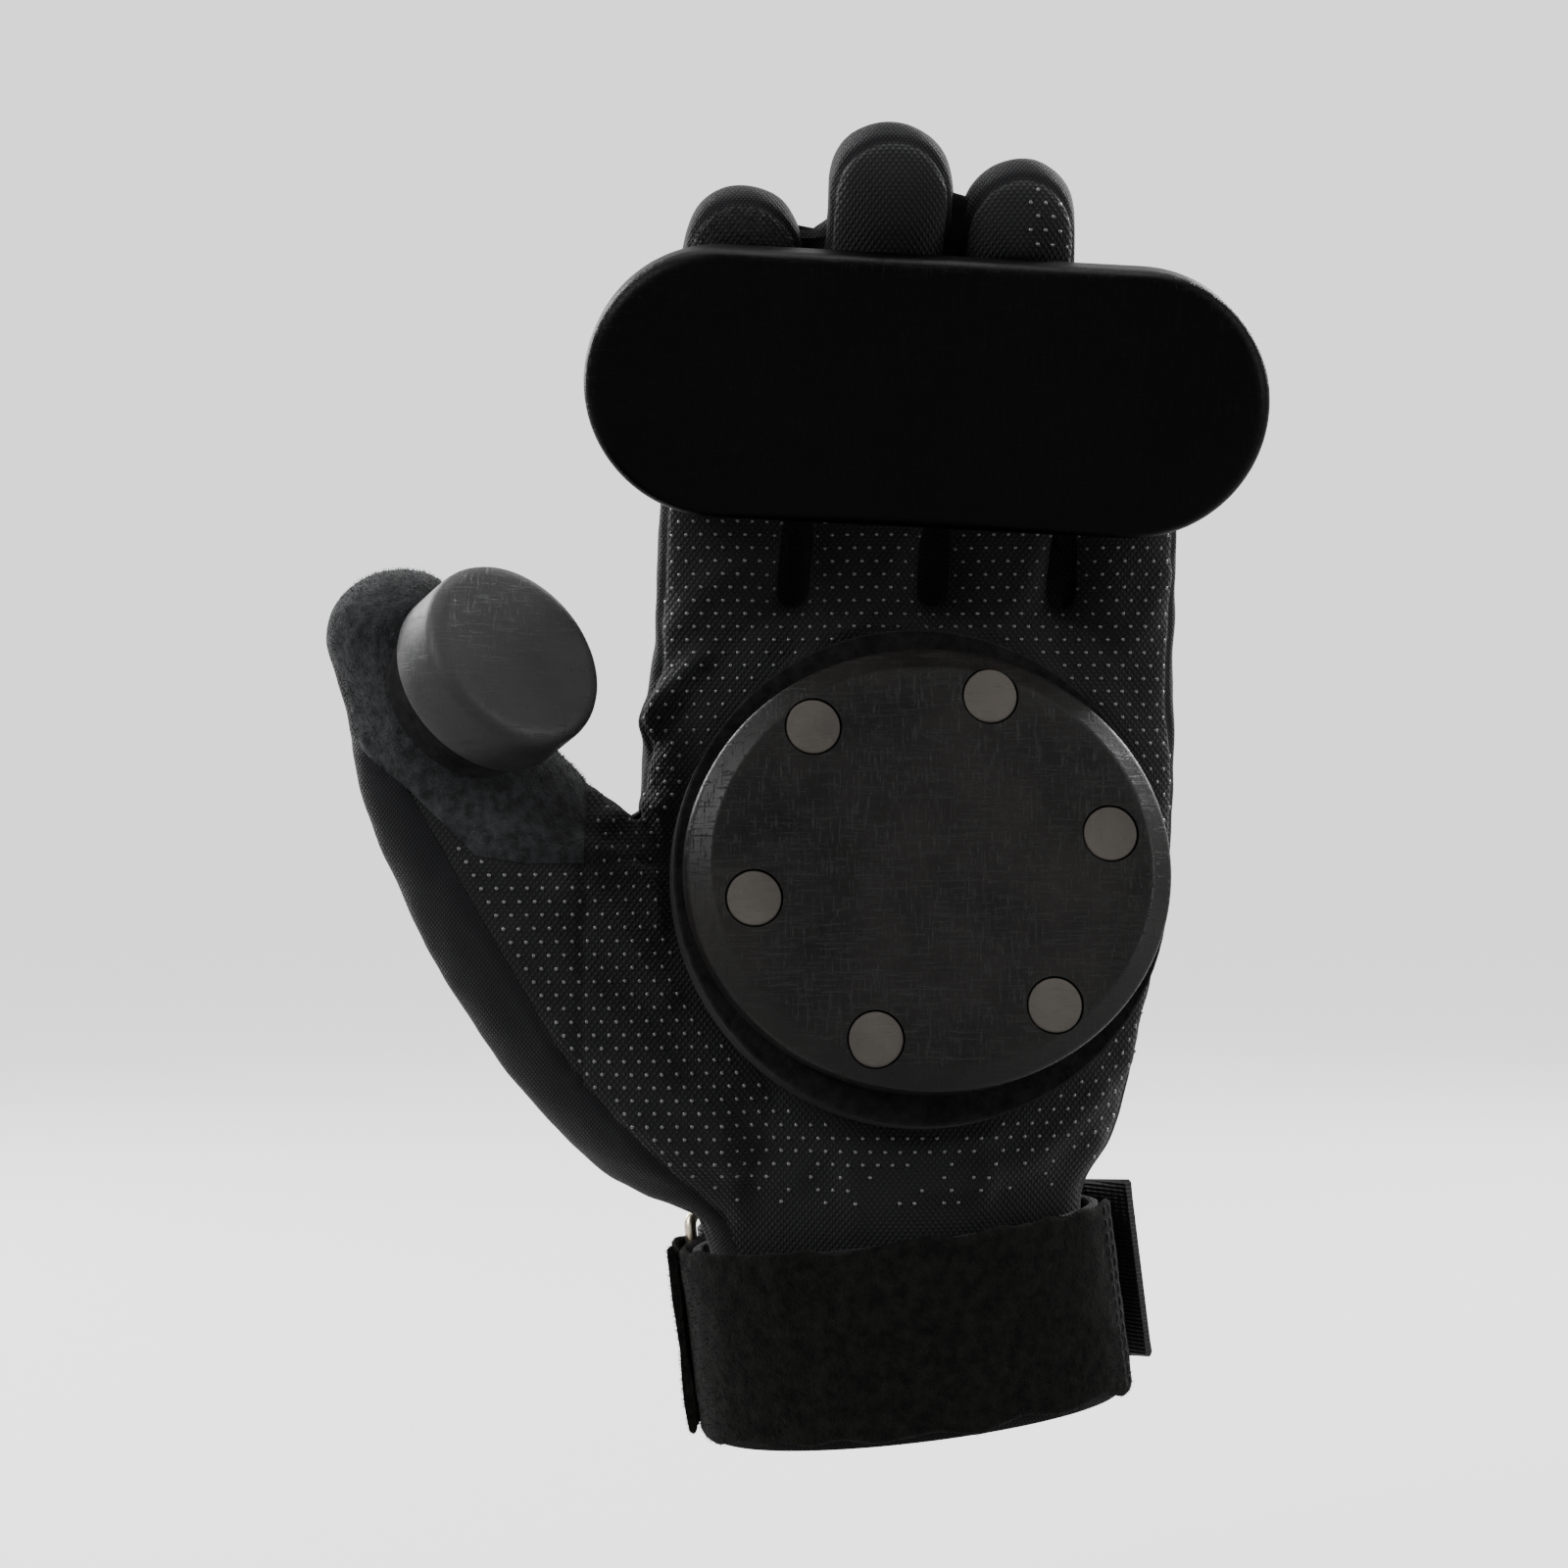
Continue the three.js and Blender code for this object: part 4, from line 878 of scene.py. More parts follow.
# %% Cloth
def knit(name, dark, light, pitch, depth, sheen):
    made = Finish(name, Roughness=0.85, Sheen_Weight=sheen, Sheen_Roughness=0.45,
                  Specular_IOR_Level=0.05)
    rising = made.waves(pitch, "X", (0, 38, 0))
    falling = made.waves(pitch, "X", (0, -38, 0))
    weave = rising * falling
    worn = made.speckle(60.0)
    made.feed("Base Color", made.mix(weave * 0.6 + worn * 0.4, dark, light))
    made.feed("Roughness", worn * 0.16 + 0.76)
    made.bump(weave + made.speckle(1800.0, 2.0) * 0.5, depth)
    return made.material


knit_navy = knit("navy knit", shade(0.0003, 0.0004, 0.0009), shade(0.0018, 0.0024, 0.0050),
                 1.15, 0.5, 0.015)
knit_black = knit("black palm knit", shade(0.0009, 0.0009, 0.0010), shade(0.0052, 0.0053, 0.0056),
                  0.9, 0.3, 0.02)
stretch_black = knit("fine stretch cloth", shade(0.0006, 0.0006, 0.0008),
                     shade(0.0025, 0.0025, 0.003), 0.6, 0.15, 0.02)


def fuzzy(name, dark, light, sheen, depth):
    made = Finish(name, Roughness=0.95, Sheen_Weight=sheen, Sheen_Roughness=0.6,
                  Specular_IOR_Level=0.02)
    clumps = made.speckle(420.0, 4.0, 0.65)
    made.feed("Base Color", made.mix(made.ramp(clumps, 0.35, 0.7), dark, light))
    made.bump(clumps + made.speckle(2200.0, 2.0) * 0.5, depth)
    return made.material


# The thumb's fleece and its fibres are painted lighter than the band's fleece. This painted light
# stands in for the key lamp falling on the thumb from the left.
fleece = fuzzy("thumb fleece painted lighter", shade(0.0015, 0.0016, 0.0017), shade(0.0095, 0.0100, 0.0108),
               0.04, 0.5)
fibre = fuzzy("thumb fibre painted lighter", shade(0.003, 0.0032, 0.0034), shade(0.0150, 0.0156, 0.0165),
              0.04, 0.05)
band_pile = fuzzy("band fleece", grey(0.0003), shade(0.0020, 0.0020, 0.0017), 0.01, 0.6)
band_fibre = fuzzy("band fibre", shade(0.0008, 0.0008, 0.0007), shade(0.0045, 0.0044, 0.0038),
                   0.01, 0.05)
pad_cloth = fuzzy("hook pad", grey(0.0006), grey(0.0025), 0.01, 0.3)
print("cloth finishes made")

# %% [markdown]
# ## Hard and rubbery finishes
# The sliders are cast plastic, dull and blotchy from the road, with fine scratches. The bar over
# the fingers is newer and nearly black. The armour is glossy, and its rubber base satin.

# %% Plastic, rubber and metal
def scuffed(name, dark, light, rough, gloss, scratch):
    made = Finish(name, Specular_IOR_Level=gloss)
    blotch = made.ramp(made.speckle(38.0, 6.0, 0.62), 0.32, 0.72)
    fine = made.speckle(900.0, 3.0)
    lines = made.ramp(made.speckle(150.0, 5.0, 0.7, (1, 1, 14)), 0.56, 0.66)
    across = made.ramp(made.speckle(170.0, 5.0, 0.7, (16, 1, 1.5)), 0.58, 0.68)
    marks = lines * scratch + across * scratch
    made.feed("Base Color", made.mix(blotch * 0.75 + marks * 0.25 + fine * 0.1, dark, light))
    made.feed("Roughness", blotch * 0.16 + fine * 0.1 + marks * 0.1 + rough)
    made.bump(fine * 0.35 + blotch * 0.5 - marks * 0.8, 0.12)
    return made.material


puck_plastic = scuffed("slider plastic", shade(0.0006, 0.0005, 0.0005),
                       shade(0.0044, 0.0040, 0.0037), 0.34, 0.06, 0.6)
thumb_plastic = scuffed("thumb slider plastic", shade(0.0015, 0.0015, 0.0016),
                        shade(0.0070, 0.0070, 0.0073), 0.42, 0.11, 0.4)
stud_plastic = scuffed("stud plastic", shade(0.0085, 0.0074, 0.0063),
                       shade(0.0280, 0.0245, 0.0210), 0.5, 0.1, 0.5)
bar_plastic = scuffed("bar plastic", grey(0.0001), grey(0.0003), 0.3, 0.02, 0.2)


def rubbery(name, dark, light, rough, coat=0.0, gloss=0.3):
    made = Finish(name, Specular_IOR_Level=gloss, Coat_Roughness=0.12, Coat_Weight=coat)
    dust = made.speckle(55.0, 5.0, 0.6)
    grain = made.speckle(1400.0, 2.0)
    made.feed("Base Color", made.mix(dust, dark, light))
    made.feed("Roughness", dust * 0.14 + grain * 0.06 + rough)
    made.bump(grain, 0.05)
    return made.material


trim_rubber = rubbery("trim rubber", shade(0.0010, 0.0010, 0.0012),
                      shade(0.0038, 0.0038, 0.0043), 0.4, 0.0, 0.08)
shell_gloss = rubbery("armour plastic", shade(0.0006, 0.0006, 0.0008),
                      shade(0.0018, 0.0018, 0.0022), 0.2, 0.06, 0.16)
white_rubber = rubbery("white rubber", shade(0.78, 0.78, 0.77), shade(0.90, 0.90, 0.89), 0.38)
yellow_rubber = rubbery("yellow rubber", shade(0.36, 0.35, 0.004), shade(0.50, 0.49, 0.008), 0.36)
dot_silicone = rubbery("grip dot silicone", grey(0.003), shade(0.030, 0.030, 0.029), 0.2)
thread = rubbery("sewing thread", shade(0.003, 0.003, 0.0033), shade(0.011, 0.011, 0.012),
                 0.6, 0.0, 0.1)


def webbing_finish():
    made = Finish("strap webbing", Roughness=0.6, Sheen_Weight=0.01, Specular_IOR_Level=0.06)
    rows = made.waves(0.8, "Z")
    worn = made.speckle(120.0, 4.0)
    made.feed("Base Color", made.mix(rows * 0.6 + worn * 0.5, grey(0.0005), grey(0.0048)))
    made.feed("Roughness", worn * 0.2 + 0.5)
    made.bump(rows + made.speckle(1500.0) * 0.6, 0.25)
    return made.material


def metal_finish():
    made = Finish("ring metal", Metallic=1.0)
    worn = made.speckle(180.0, 5.0, 0.6)
    made.feed("Base Color", made.mix(worn, shade(0.16, 0.13, 0.09), shade(0.42, 0.38, 0.31)))
    made.feed("Roughness", worn * 0.25 + 0.18)
    made.bump(worn, 0.05)
    return made.material


webbing = webbing_finish()
ring_metal = metal_finish()
print("materials", len(bpy.data.materials))

# %% Dressing a piece
def dress(obj, material, slot, *nodes):
    """Give a piece its finish and body, and hide the CAD parts that it stands for; slot is not used."""
    obj.data.materials.clear()
    obj.data.materials.append(material)
    if nodes:
        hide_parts(*nodes)
    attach(obj, "root")
    return obj


# the share of its rectangle that a cut panel fills
CUT_SHARE = 0.8


def piece(name, shape, material, slot, *nodes, smooth=60):
    """Points and faces made into a dressed object."""
    return dress(facing_out(put(name, *shape, smooth)), material, slot, *nodes)


def cloth_panel(obj, material, slot, node, length_mm):
    """A cloth panel: its flat cut has half of the shell's area, since that has two sides."""
    dress(obj, material, slot, node)
    area = sum(face.area for face in obj.data.polygons) / 2
    length = length_mm * MM
    width = area / CUT_SHARE / length
    print(f"{obj.name} flat cut {width * 1e3:.0f} x {length_mm} mm, {area * 1e4:.0f} cm2")


for panel in ((palm_cloth, knit_black, "grip_cloth", "palm_panel", 240),
              (back_knit, knit_navy, "knit", "back_panel", 245),
              (gusset, stretch_black, "gusset_cloth", "side_gusset", 900),
              (thumb_cloth, stretch_black, "gusset_cloth", "thumb_side", 160),
              # the thumb's fleece finish is painted lighter, standing in for the light on the thumb
              (thumb_fleece, fleece, "fleece", "thumb_front", 60)):
    cloth_panel(*panel)

# %% [markdown]
# ## Silicone grip dots
# The palm cloth carries rows of small raised dots. Each is a little dome with a flat foot, placed
# by a ray that meets the folded cloth. One joined mesh keeps thousands of them light.

# %% Rays onto the cloth
def cast(tree, flat, side, normals, quads):
    """Points and normals where rays from the palm (-1) or back (1) side meet a surface."""
    hits, outs, found = [], [], []
    towards = Vector((0, -side, 0))
    for x, z in flat:
        place, _normal, index, _away = tree.ray_cast(Vector((x, side * 150, z)), towards)
        found.append(index is not None)
        if index is None:
            place, _normal, index, _away = tree.find_nearest(Vector((x, side * 20, z)))
        hits.append(tuple(place))
        outs.append(normals[quads[index]].mean(0))
    return np.array(hits), unit(np.array(outs)), np.array(found)


def on_back(flat):
    hits, outs, _found = cast(form_tree, flat, 1, soft_normals, form_quads)
    return hits, outs


def frames_on(normals):
    side = unit(np.cross(normals, np.where(np.abs(normals[:, 2:]) > 0.9, (1, 0, 0), (0, 0, 1))))
    return side, np.cross(normals, side)


def domes(name, places, normals, radius, height, sides=7):
    """Many small domes as one mesh, each sunk a little into what carries it."""
    side, up = frames_on(normals)
    angle = turns(sides)
    rings = []
    for reach, rise in ((1.0, -0.12), (0.92, 0.55 * height), (0.5, 0.93 * height)):
        ring = (places[:, None] + normals[:, None] * rise
                + radius * reach * (side[:, None] * np.cos(angle)[None, :, None]
                                    + up[:, None] * np.sin(angle)[None, :, None]))
        rings.append(ring)
    tops = places + normals * height
    feet = places - normals * 0.12
    block_points = np.concatenate([*rings, tops[:, None], feet[:, None]], axis=1)
    count = sides * 3 + 2
    faces = []
    for k in range(sides):
        after = (k + 1) % sides
        for ring in range(2):
            low, high = ring * sides, (ring + 1) * sides
            faces.append((low + k, low + after, high + after, high + k))
        faces.append((2 * sides + k, 2 * sides + after, count - 2, -1))
        faces.append((after, k, count - 1, -1))
    all_faces = [tuple(corner + i * count for corner in face if corner >= 0)
                 for i in range(len(places)) for face in faces]
    return facing_out(put(name, block_points.reshape(-1, 3), all_faces, 60))


# %% Grip dots
DOT_PITCH, DOT_ROW, DOT_RADIUS, DOT_HEIGHT = 2.75, 2.45, 0.42, 0.34
DOTS_LEFT, DOTS_RIGHT, DOTS_LOW, DOTS_HIGH = -98, 60, 44, 240
# the index and middle fingertips are bare, above and left of these
BARE_ABOVE, BARE_LEFT = 205, 18
# near the band dots are worn off: its edge at x = 0, that edge's slope, and the share left
BAND_EDGE, BAND_SLOPE, WORN_SHARE = 43, 0.12, 0.35
rows_z = np.arange(DOTS_LOW, DOTS_HIGH, DOT_ROW)
dot_flat = np.array([(x + (i % 2) * DOT_PITCH / 2, z) for i, z in enumerate(rows_z)
                     for x in np.arange(DOTS_LEFT, DOTS_RIGHT, DOT_PITCH)])
dot_places, dot_normals, dot_found = cast(cloth_tree, dot_flat, -1, cloth_normals, form_quads)
middle = dot_places[:, 1] - finger_line(dot_places[:, 2])
on_palm = (middle < -half_gusset - 0.8) & ~(depth_in(dot_flat, THUMB_ZONE) > -1.2)
on_wedge = depth_in(dot_flat, GRIP_WEDGE) > 0.8
bare_tips = (dot_flat[:, 1] > BARE_ABOVE) & (dot_flat[:, 0] < BARE_LEFT)
clear = pressed(dot_places, dot_normals) < 0.5
over_band = dot_flat[:, 1] - BAND_EDGE - BAND_SLOPE * dot_flat[:, 0]
left = WORN_SHARE + (1 - WORN_SHARE) * soft_step(over_band, 2, 16)
kept = np.random.default_rng(5).random(len(dot_flat)) < left
chosen = (dot_found & (on_palm | on_wedge) & ~bare_tips & clear & kept & (over_band > 0)
          & (dot_normals[:, 1] < -0.12))
grip_dots = domes("grip_dots", dot_places[chosen], dot_normals[chosen], DOT_RADIUS, DOT_HEIGHT)
dress(grip_dots, dot_silicone, "grip_cloth")
print("grip dots", int(chosen.sum()))

# %% [markdown]
# ## Sliders
# The palm slider is an oval block with a wide chamfer and six studs let into its face. The
# finger bar is a long rounded block, and the thumb slider a small thick disc. Rings from the
# face's own frame give them crisp yet rounded edges; the hook pads below follow the cloth.

# %% Rounded blocks
def rounded_block(seat, outline, thickness, edge, shift=(0, 0), top=0.0, foot=0.8, rim=None):
    """A block with rounded rims, or with a rim profile, whose face lies at a height of the seat."""
    outline = np.asarray(outline, float)
    inward = -unit(outline)
    rows = [(foot, -thickness), (foot * 0.3, -thickness + foot * 0.3), (0, -thickness + foot)]
    rows += [(0, height) for height in np.linspace(-thickness + foot, -edge, 4)[1:]]
    rows += rim or [(edge * (1 - math.cos(a)), -edge * (1 - math.sin(a)))
                    for a in np.radians([18, 36, 54, 72, 90])]
    rings = [seat.put(outline + inward * inset + shift, height + top) for inset, height in rows]
    last = outline + inward * rows[-1][0]
    rings += [seat.put(last * share + shift, top) for share in (0.93, 0.7, 0.35)]
    return ringed(rings, seat.put([shift], top - thickness), seat.put([shift], top))


STUD, STUD_CIRCLE, STUD_DEPTH, STUD_FIRST, STUDS = 10.0, 67.0, 2.0, 10.0, 6
stud_turns = np.radians(STUD_FIRST + np.arange(STUDS) * 360 / STUDS)
stud_shifts = np.column_stack([np.cos(stud_turns), np.sin(stud_turns)]) * STUD_CIRCLE / 2

# how far in and how high each step of the chamfer lies
CHAMFER = [(0.3, -3.0), (0.8, -2.6), (3.7, -0.45), (4.1, -0.12), (4.6, 0.0)]
palm_outline = circle(PALM_PUCK / 2, 160) * (1, PALM_PUCK_HEIGHT / PALM_PUCK)
palm_slider = facing_out(put("palm_slider", *rounded_block(
    palm_seat, palm_outline, PALM_PUCK_THICKNESS, 3.6, rim=CHAMFER), 30))
for shift in stud_shifts:
    ring = circle(STUD / 2 + GAP, 48) + shift
    pocket = block("pocket", palm_seat.put(ring, -STUD_DEPTH), palm_seat.put(ring, STUD_DEPTH))
    cut(palm_slider, pocket, "DIFFERENCE")
palm_slider.data.set_sharp_from_angle(angle=math.radians(30))
dress(palm_slider, puck_plastic, "puck_plastic", "palm_puck")
studs = [rounded_block(palm_seat, circle(STUD / 2, 48), STUD_DEPTH - GAP * 1.5, 0.35, shift,
                       -GAP / 2, 0.2) for shift in stud_shifts]
piece("slider_studs", joined(studs), stud_plastic, "stud_plastic",
      *[f"puck_stud_{i + 1}" for i in range(STUDS)], smooth=40)

finger_slider = rounded_block(bar_seat, stadium(BAR_LENGTH, BAR_WIDTH, 1.2), BAR_THICKNESS, 3.2,
                              foot=1.8)
piece("finger_slider", finger_slider, bar_plastic, "bar_plastic", "finger_bar", smooth=40)
thumb_slider = rounded_block(thumb_seat, circle(THUMB_PUCK / 2, 96), THUMB_PUCK_THICKNESS, 2.6)
piece("thumb_slider", thumb_slider, thumb_plastic, "puck_plastic", "thumb_puck", smooth=40)


# %% Hook pads between slider and cloth
def hook_pad(name, seat, radius, top, deepest):
    """A padded disc of a radius, from a top height down to the cloth or the deepest it may go."""
    outline = circle(radius, 96)
    rings = []
    for share in (0.3, 0.6, 0.85, 1.0):
        flat = outline * share
        start = seat.put(flat, top)
        depth = []
        for place in start:
            hit = form_tree.ray_cast(Vector(place), Vector(-seat.out))
            depth.append(deepest if hit[3] is None else min(max(hit[3] - GAP, 0.3), deepest))
        rings.append(seat.put(flat, top - np.array(depth)))
    rings.append(seat.put(outline, top - 0.4))
    rings.append(seat.put(outline * (1 - 0.4 / radius), top))
    lowest = seat.put([(0, 0)], top - 0.6)
    return facing_out(put(name, *ringed(rings, lowest, seat.put([(0, 0)], top))))


PALM_PAD_DEPTH, THUMB_PAD_DEPTH, PAD_FILL = 9.0, 7.0, 0.9
for name, node, seat, radius, over, deepest in (
        ("palm_hook_pad", "palm_pad", palm_seat, PALM_PUCK / 2 + PALM_PAD_RIM,
         PALM_PUCK_THICKNESS, PALM_PAD_DEPTH),
        ("thumb_hook_pad", "thumb_pad", thumb_seat, THUMB_PAD / 2,
         THUMB_PUCK_THICKNESS, THUMB_PAD_DEPTH)):
    pad = dress(hook_pad(name, seat, radius, -over - GAP, deepest), pad_cloth, "pad_foam", node)
    print(name, len(pad.data.polygons), "faces")

# %% [markdown]
# ## Trim of the back
# Rubber plates are moulded with a rounded edge and a sunk line for the stitches. Each starts as
# an outline on the back of the hand; rings step inward from it, each with its own height over the
# cloth, so edge, groove and crown are real shape.

# %% Laying an outline on the back
def crowned(outline, centre, profile, rise=None, rings=8):
    """Rings over the cloth: profile rows are inset and height, rise adds height at a place."""
    outline, centre = np.asarray(outline, float), np.asarray(centre, float)
    away = outline - centre
    reach = np.linalg.norm(away, axis=1)[:, None]
    steps = [(centre + away * share, profile[0][1]) for share in (0.25, 0.5, 0.75, 0.95)]
    for inset, height in profile:
        steps.append((centre + away * np.maximum(1 - inset / reach, 0.1), height))
    last_flat, last_height = steps[-1]
    for share in np.linspace(1, 0, rings + 1)[1:-1]:
        steps.append((centre + (last_flat - centre) * share, last_height))
    made = []
    for i, (flat, height) in enumerate(steps):
        hits, outs = on_back(flat)
        over = rise(flat) if rise is not None and i > 4 else 0.0
        made.append(hits + outs * np.reshape(height + over, (-1, 1)))
    hits, outs = on_back([centre])
    top = last_height + (rise(np.array([centre])) if rise is not None else 0.0)
    return ringed(made, hits + outs * profile[0][1], hits + outs * np.reshape(top, (-1, 1)))


def moulded(base, top, edge, groove_at=None, groove=0.5):
    """An edge profile from base to top height, with a sunk stitch line where asked."""
    rows = [(0.0, base), (0.0, (base + top) / 2), (edge * 0.3, top - edge * 0.3), (edge, top)]
    if groove_at:
        rows += [(groove_at - 0.7, top), (groove_at - 0.35, top - groove),
                 (groove_at + 0.35, top - groove), (groove_at + 0.7, top)]
    return rows


plate_top = GAP + PLATE_THICKNESS
plate_centre = (plate_x, plate_z)
STITCH_INSET = 2.6
plate_profile = moulded(GAP, plate_top, 0.8, STITCH_INSET)
knuckle_base = crowned(spaced(plate_line, 1.1, closed=True), plate_centre, plate_profile, rings=18)
piece("knuckle_base", knuckle_base, trim_rubber, "trim_rubber", "knuckle_plate", smooth=40)
print("knuckle base", len(knuckle_base[1]), "faces")

# %% Knuckle shell with its four bulges
SHELL_WIDTH, SHELL_HEIGHT, SHELL_RISE, SHELL_RIM = 80.0, 38.0, 8.0, 1.6
shell_x, shell_z = plate_x + 2.0, plate_z + 2.6
# centre and half width of each bulge, in shares of SHELL_WIDTH
BULGES = [(-0.34, 0.155), (-0.09, 0.165), (0.165, 0.15), (0.375, 0.12)]
BULGE_OVERLAP, BULGE_BLEND, VALLEY_DEPTH = 1.18, 5.0, 0.62
# half width and half height of the raised part, in shares, and how square each is
RAISED_HALF, RAISED_TALL, SQUARE_ACROSS, SQUARE_UP = 0.468, 0.435, 3.0, 2.4
RAISED_SHARE = 0.95


def bulges(flat):
    """Height of the four bulges over the shell's rim."""
    x, z = flat[:, 0] - shell_x, flat[:, 1] - shell_z
    length = np.clip(1 - np.abs(x / (SHELL_WIDTH * RAISED_HALF)) ** SQUARE_ACROSS, 0, 1)
    height = np.clip(1 - np.abs(z / (SHELL_HEIGHT * RAISED_TALL)) ** SQUARE_UP, 0, 1)
    lobes = np.zeros(len(flat))
    for centre, half in BULGES:
        across = ((x - centre * SHELL_WIDTH) / (half * SHELL_WIDTH * BULGE_OVERLAP)) ** 2
        lobes += np.clip(1 - across, 0, 1) ** (BULGE_BLEND / 2)
    lobes = np.minimum(lobes ** (1 / BULGE_BLEND), 1)
    body = (length * height) ** 0.5
    return body * (1 - VALLEY_DEPTH + VALLEY_DEPTH * lobes) * SHELL_RISE * RAISED_SHARE


shell_base = plate_top + GAP
shell_line = stadium(SHELL_WIDTH, SHELL_HEIGHT, 1.0) + (shell_x, shell_z)
shell_profile = [(0.0, shell_base), (0.0, shell_base + 1.0), (0.4, shell_base + SHELL_RIM),
                 (1.3, shell_base + SHELL_RIM), (1.8, shell_base + 0.9), (2.4, shell_base + 0.9)]
knuckle_armour = crowned(shell_line, (shell_x, shell_z), shell_profile, bulges, rings=30)
piece("knuckle_armour", knuckle_armour, shell_gloss, "shell_plastic", "knuckle_shell")
print("knuckle armour", len(knuckle_armour[1]), "faces")

# %% White inlays
INLAY = 0.8
# middle and half width, in shares of the plate
CRESCENTS = {"index": (-0.335, 0.335, 0.062), "middle": (-0.06, 0.395, 0.072),
             "ring": (0.215, 0.385, 0.06), "pinky": (0.405, 0.295, 0.042)}


def arc_between(start, control, end, count):
    t = np.linspace(0, 1, count, endpoint=False)[:, None]
    start, control, end = np.array([start, control, end])
    return (1 - t) ** 2 * start + 2 * t * (1 - t) * control + t**2 * end


for name, (share_x, share_z, share_half) in CRESCENTS.items():
    x, z = plate_x + share_x * PLATE_WIDTH, plate_z + share_z * PLATE_HEIGHT
    half = share_half * PLATE_WIDTH
    left, right = (x - half, z - half * 0.35), (x + half, z - half * 0.25)
    line = np.vstack([arc_between(left, (x, z + half * 1.3), right, 24),
                      arc_between(right, (x, z + half * 0.15), left, 24)])
    inlay = crowned(line, (x, z + half * 0.22), moulded(shell_base, shell_base + INLAY, 0.3),
                    rings=3)
    piece(f"inlay_{name}", inlay, white_rubber, "white_inlay", f"crescent_{name}", smooth=40)

WAVE_UPPER = [(-0.37, -0.26), (-0.29, -0.36), (-0.2, -0.395), (-0.08, -0.35), (0.05, -0.31),
              (0.16, -0.36), (0.25, -0.4), (0.33, -0.36), (0.39, -0.28)]
WAVE_LOWER = [(-0.37, -0.26), (-0.3, -0.4), (-0.2, -0.44), (-0.08, -0.4), (0.05, -0.35),
              (0.14, -0.41), (0.25, -0.455), (0.35, -0.39), (0.39, -0.28)]
upper = curve(shares(WAVE_UPPER, PLATE_WIDTH, PLATE_HEIGHT, plate_x, plate_z), 8)[1:-1]
lower = curve(shares(WAVE_LOWER, PLATE_WIDTH, PLATE_HEIGHT, plate_x, plate_z), 8)[1:-1]
# share of the way across the wave, and share of the inlay's height
WAVE_PROFILE = np.array([(0, 0), (0, 0.6), (0.12, 1), (0.5, 1), (0.88, 1), (1, 0.6), (1, 0), (0.5, 0)])
loops = []
for low, high in zip(lower, upper):
    hits, outs = on_back(low + (high - low) * WAVE_PROFILE[:, :1])
    loops.append(hits + outs * (shell_base + INLAY * WAVE_PROFILE[:, 1:]))
piece("wave_inlay", ringed(loops), white_rubber, "white_inlay", "wave_stripe", smooth=40)
print("inlays", len(CRESCENTS) + 1)

# %% [markdown]
# ## Joint guards and fingertip badges
# Each finger has a rubber oval with a hard dome in it, ridged like a small helmet, and near its
# tip an arrow-shaped badge with three yellow ovals. The dome's roof, its sloping facet and its two
# scoops are heights over the oval, because a plain ball would miss how they catch the light.

# %% Guards
GUARD_THICKNESS, DOME_HEIGHT = 1.8, 6.6


def guard_rim(x, z, width):
    """A rubber oval ring with a sunk stitch line."""
    outer = stadium(GUARD_LENGTH, width, 0.9)[:, ::-1]
    inward = -unit(outer)
    top = GAP + GUARD_THICKNESS
    rows = [(0, GAP), (0, top - 0.5), (0.3, top - 0.1), (0.7, top), (1.05, top - 0.35),
            (1.45, top - 0.35), (1.8, top), (GUARD_RIM - 0.3, top + 0.15), (GUARD_RIM, top - 0.3),
            (GUARD_RIM, GAP)]
    rings = []
    for inset, height in rows:
        hits, outs = on_back(outer + inward * inset + (x, z))
        rings.append(hits + outs * height)
    return ringed(rings, around=True)


def guard_dome(x, z, width):
    """The hard dome inside a rim."""
    half_width, half_length = (size / 2 - GUARD_RIM - GAP for size in (width, GUARD_LENGTH))
    outline = stadium(half_length * 2, half_width * 2, 0.6)[:, ::-1] + (x, z)

    def helmet(flat):
        u = (flat[:, 0] - x) / half_width
        v = (flat[:, 1] - z) / half_length
        body = (np.clip(1 - np.abs(u) ** 2.4, 0, 1) * np.clip(1 - np.abs(v) ** 4.0, 0, 1)) ** 0.5
        roof = 1 - 0.5 * np.abs(u) ** 1.3
        facet = 1 - 0.75 * np.clip(v - 0.02, 0, 1)
        scoop = 0.16 * np.exp(-((np.abs(u) - 0.55) / 0.25) ** 2 - ((v + 0.25) / 0.4) ** 2)
        return DOME_HEIGHT * body * (np.minimum(roof, facet) - scoop)

    profile = [(0.0, GAP), (0.0, GAP + 0.9), (0.15, GAP + 1.2)]
    return crowned(outline, (x, z), profile, helmet, rings=26)


for name, (x, z, width) in guard_places.items():
    piece(f"guard_oval_{name}", guard_rim(x, z, width), trim_rubber, "trim_rubber",
          f"guard_rim_{name}", smooth=40)
    piece(f"guard_helmet_{name}", guard_dome(x, z, width), shell_gloss, "shell_plastic",
          f"guard_dome_{name}")
print("guards", len(guard_places))

# %% Badges and their dots
BADGE_THICKNESS = 1.6
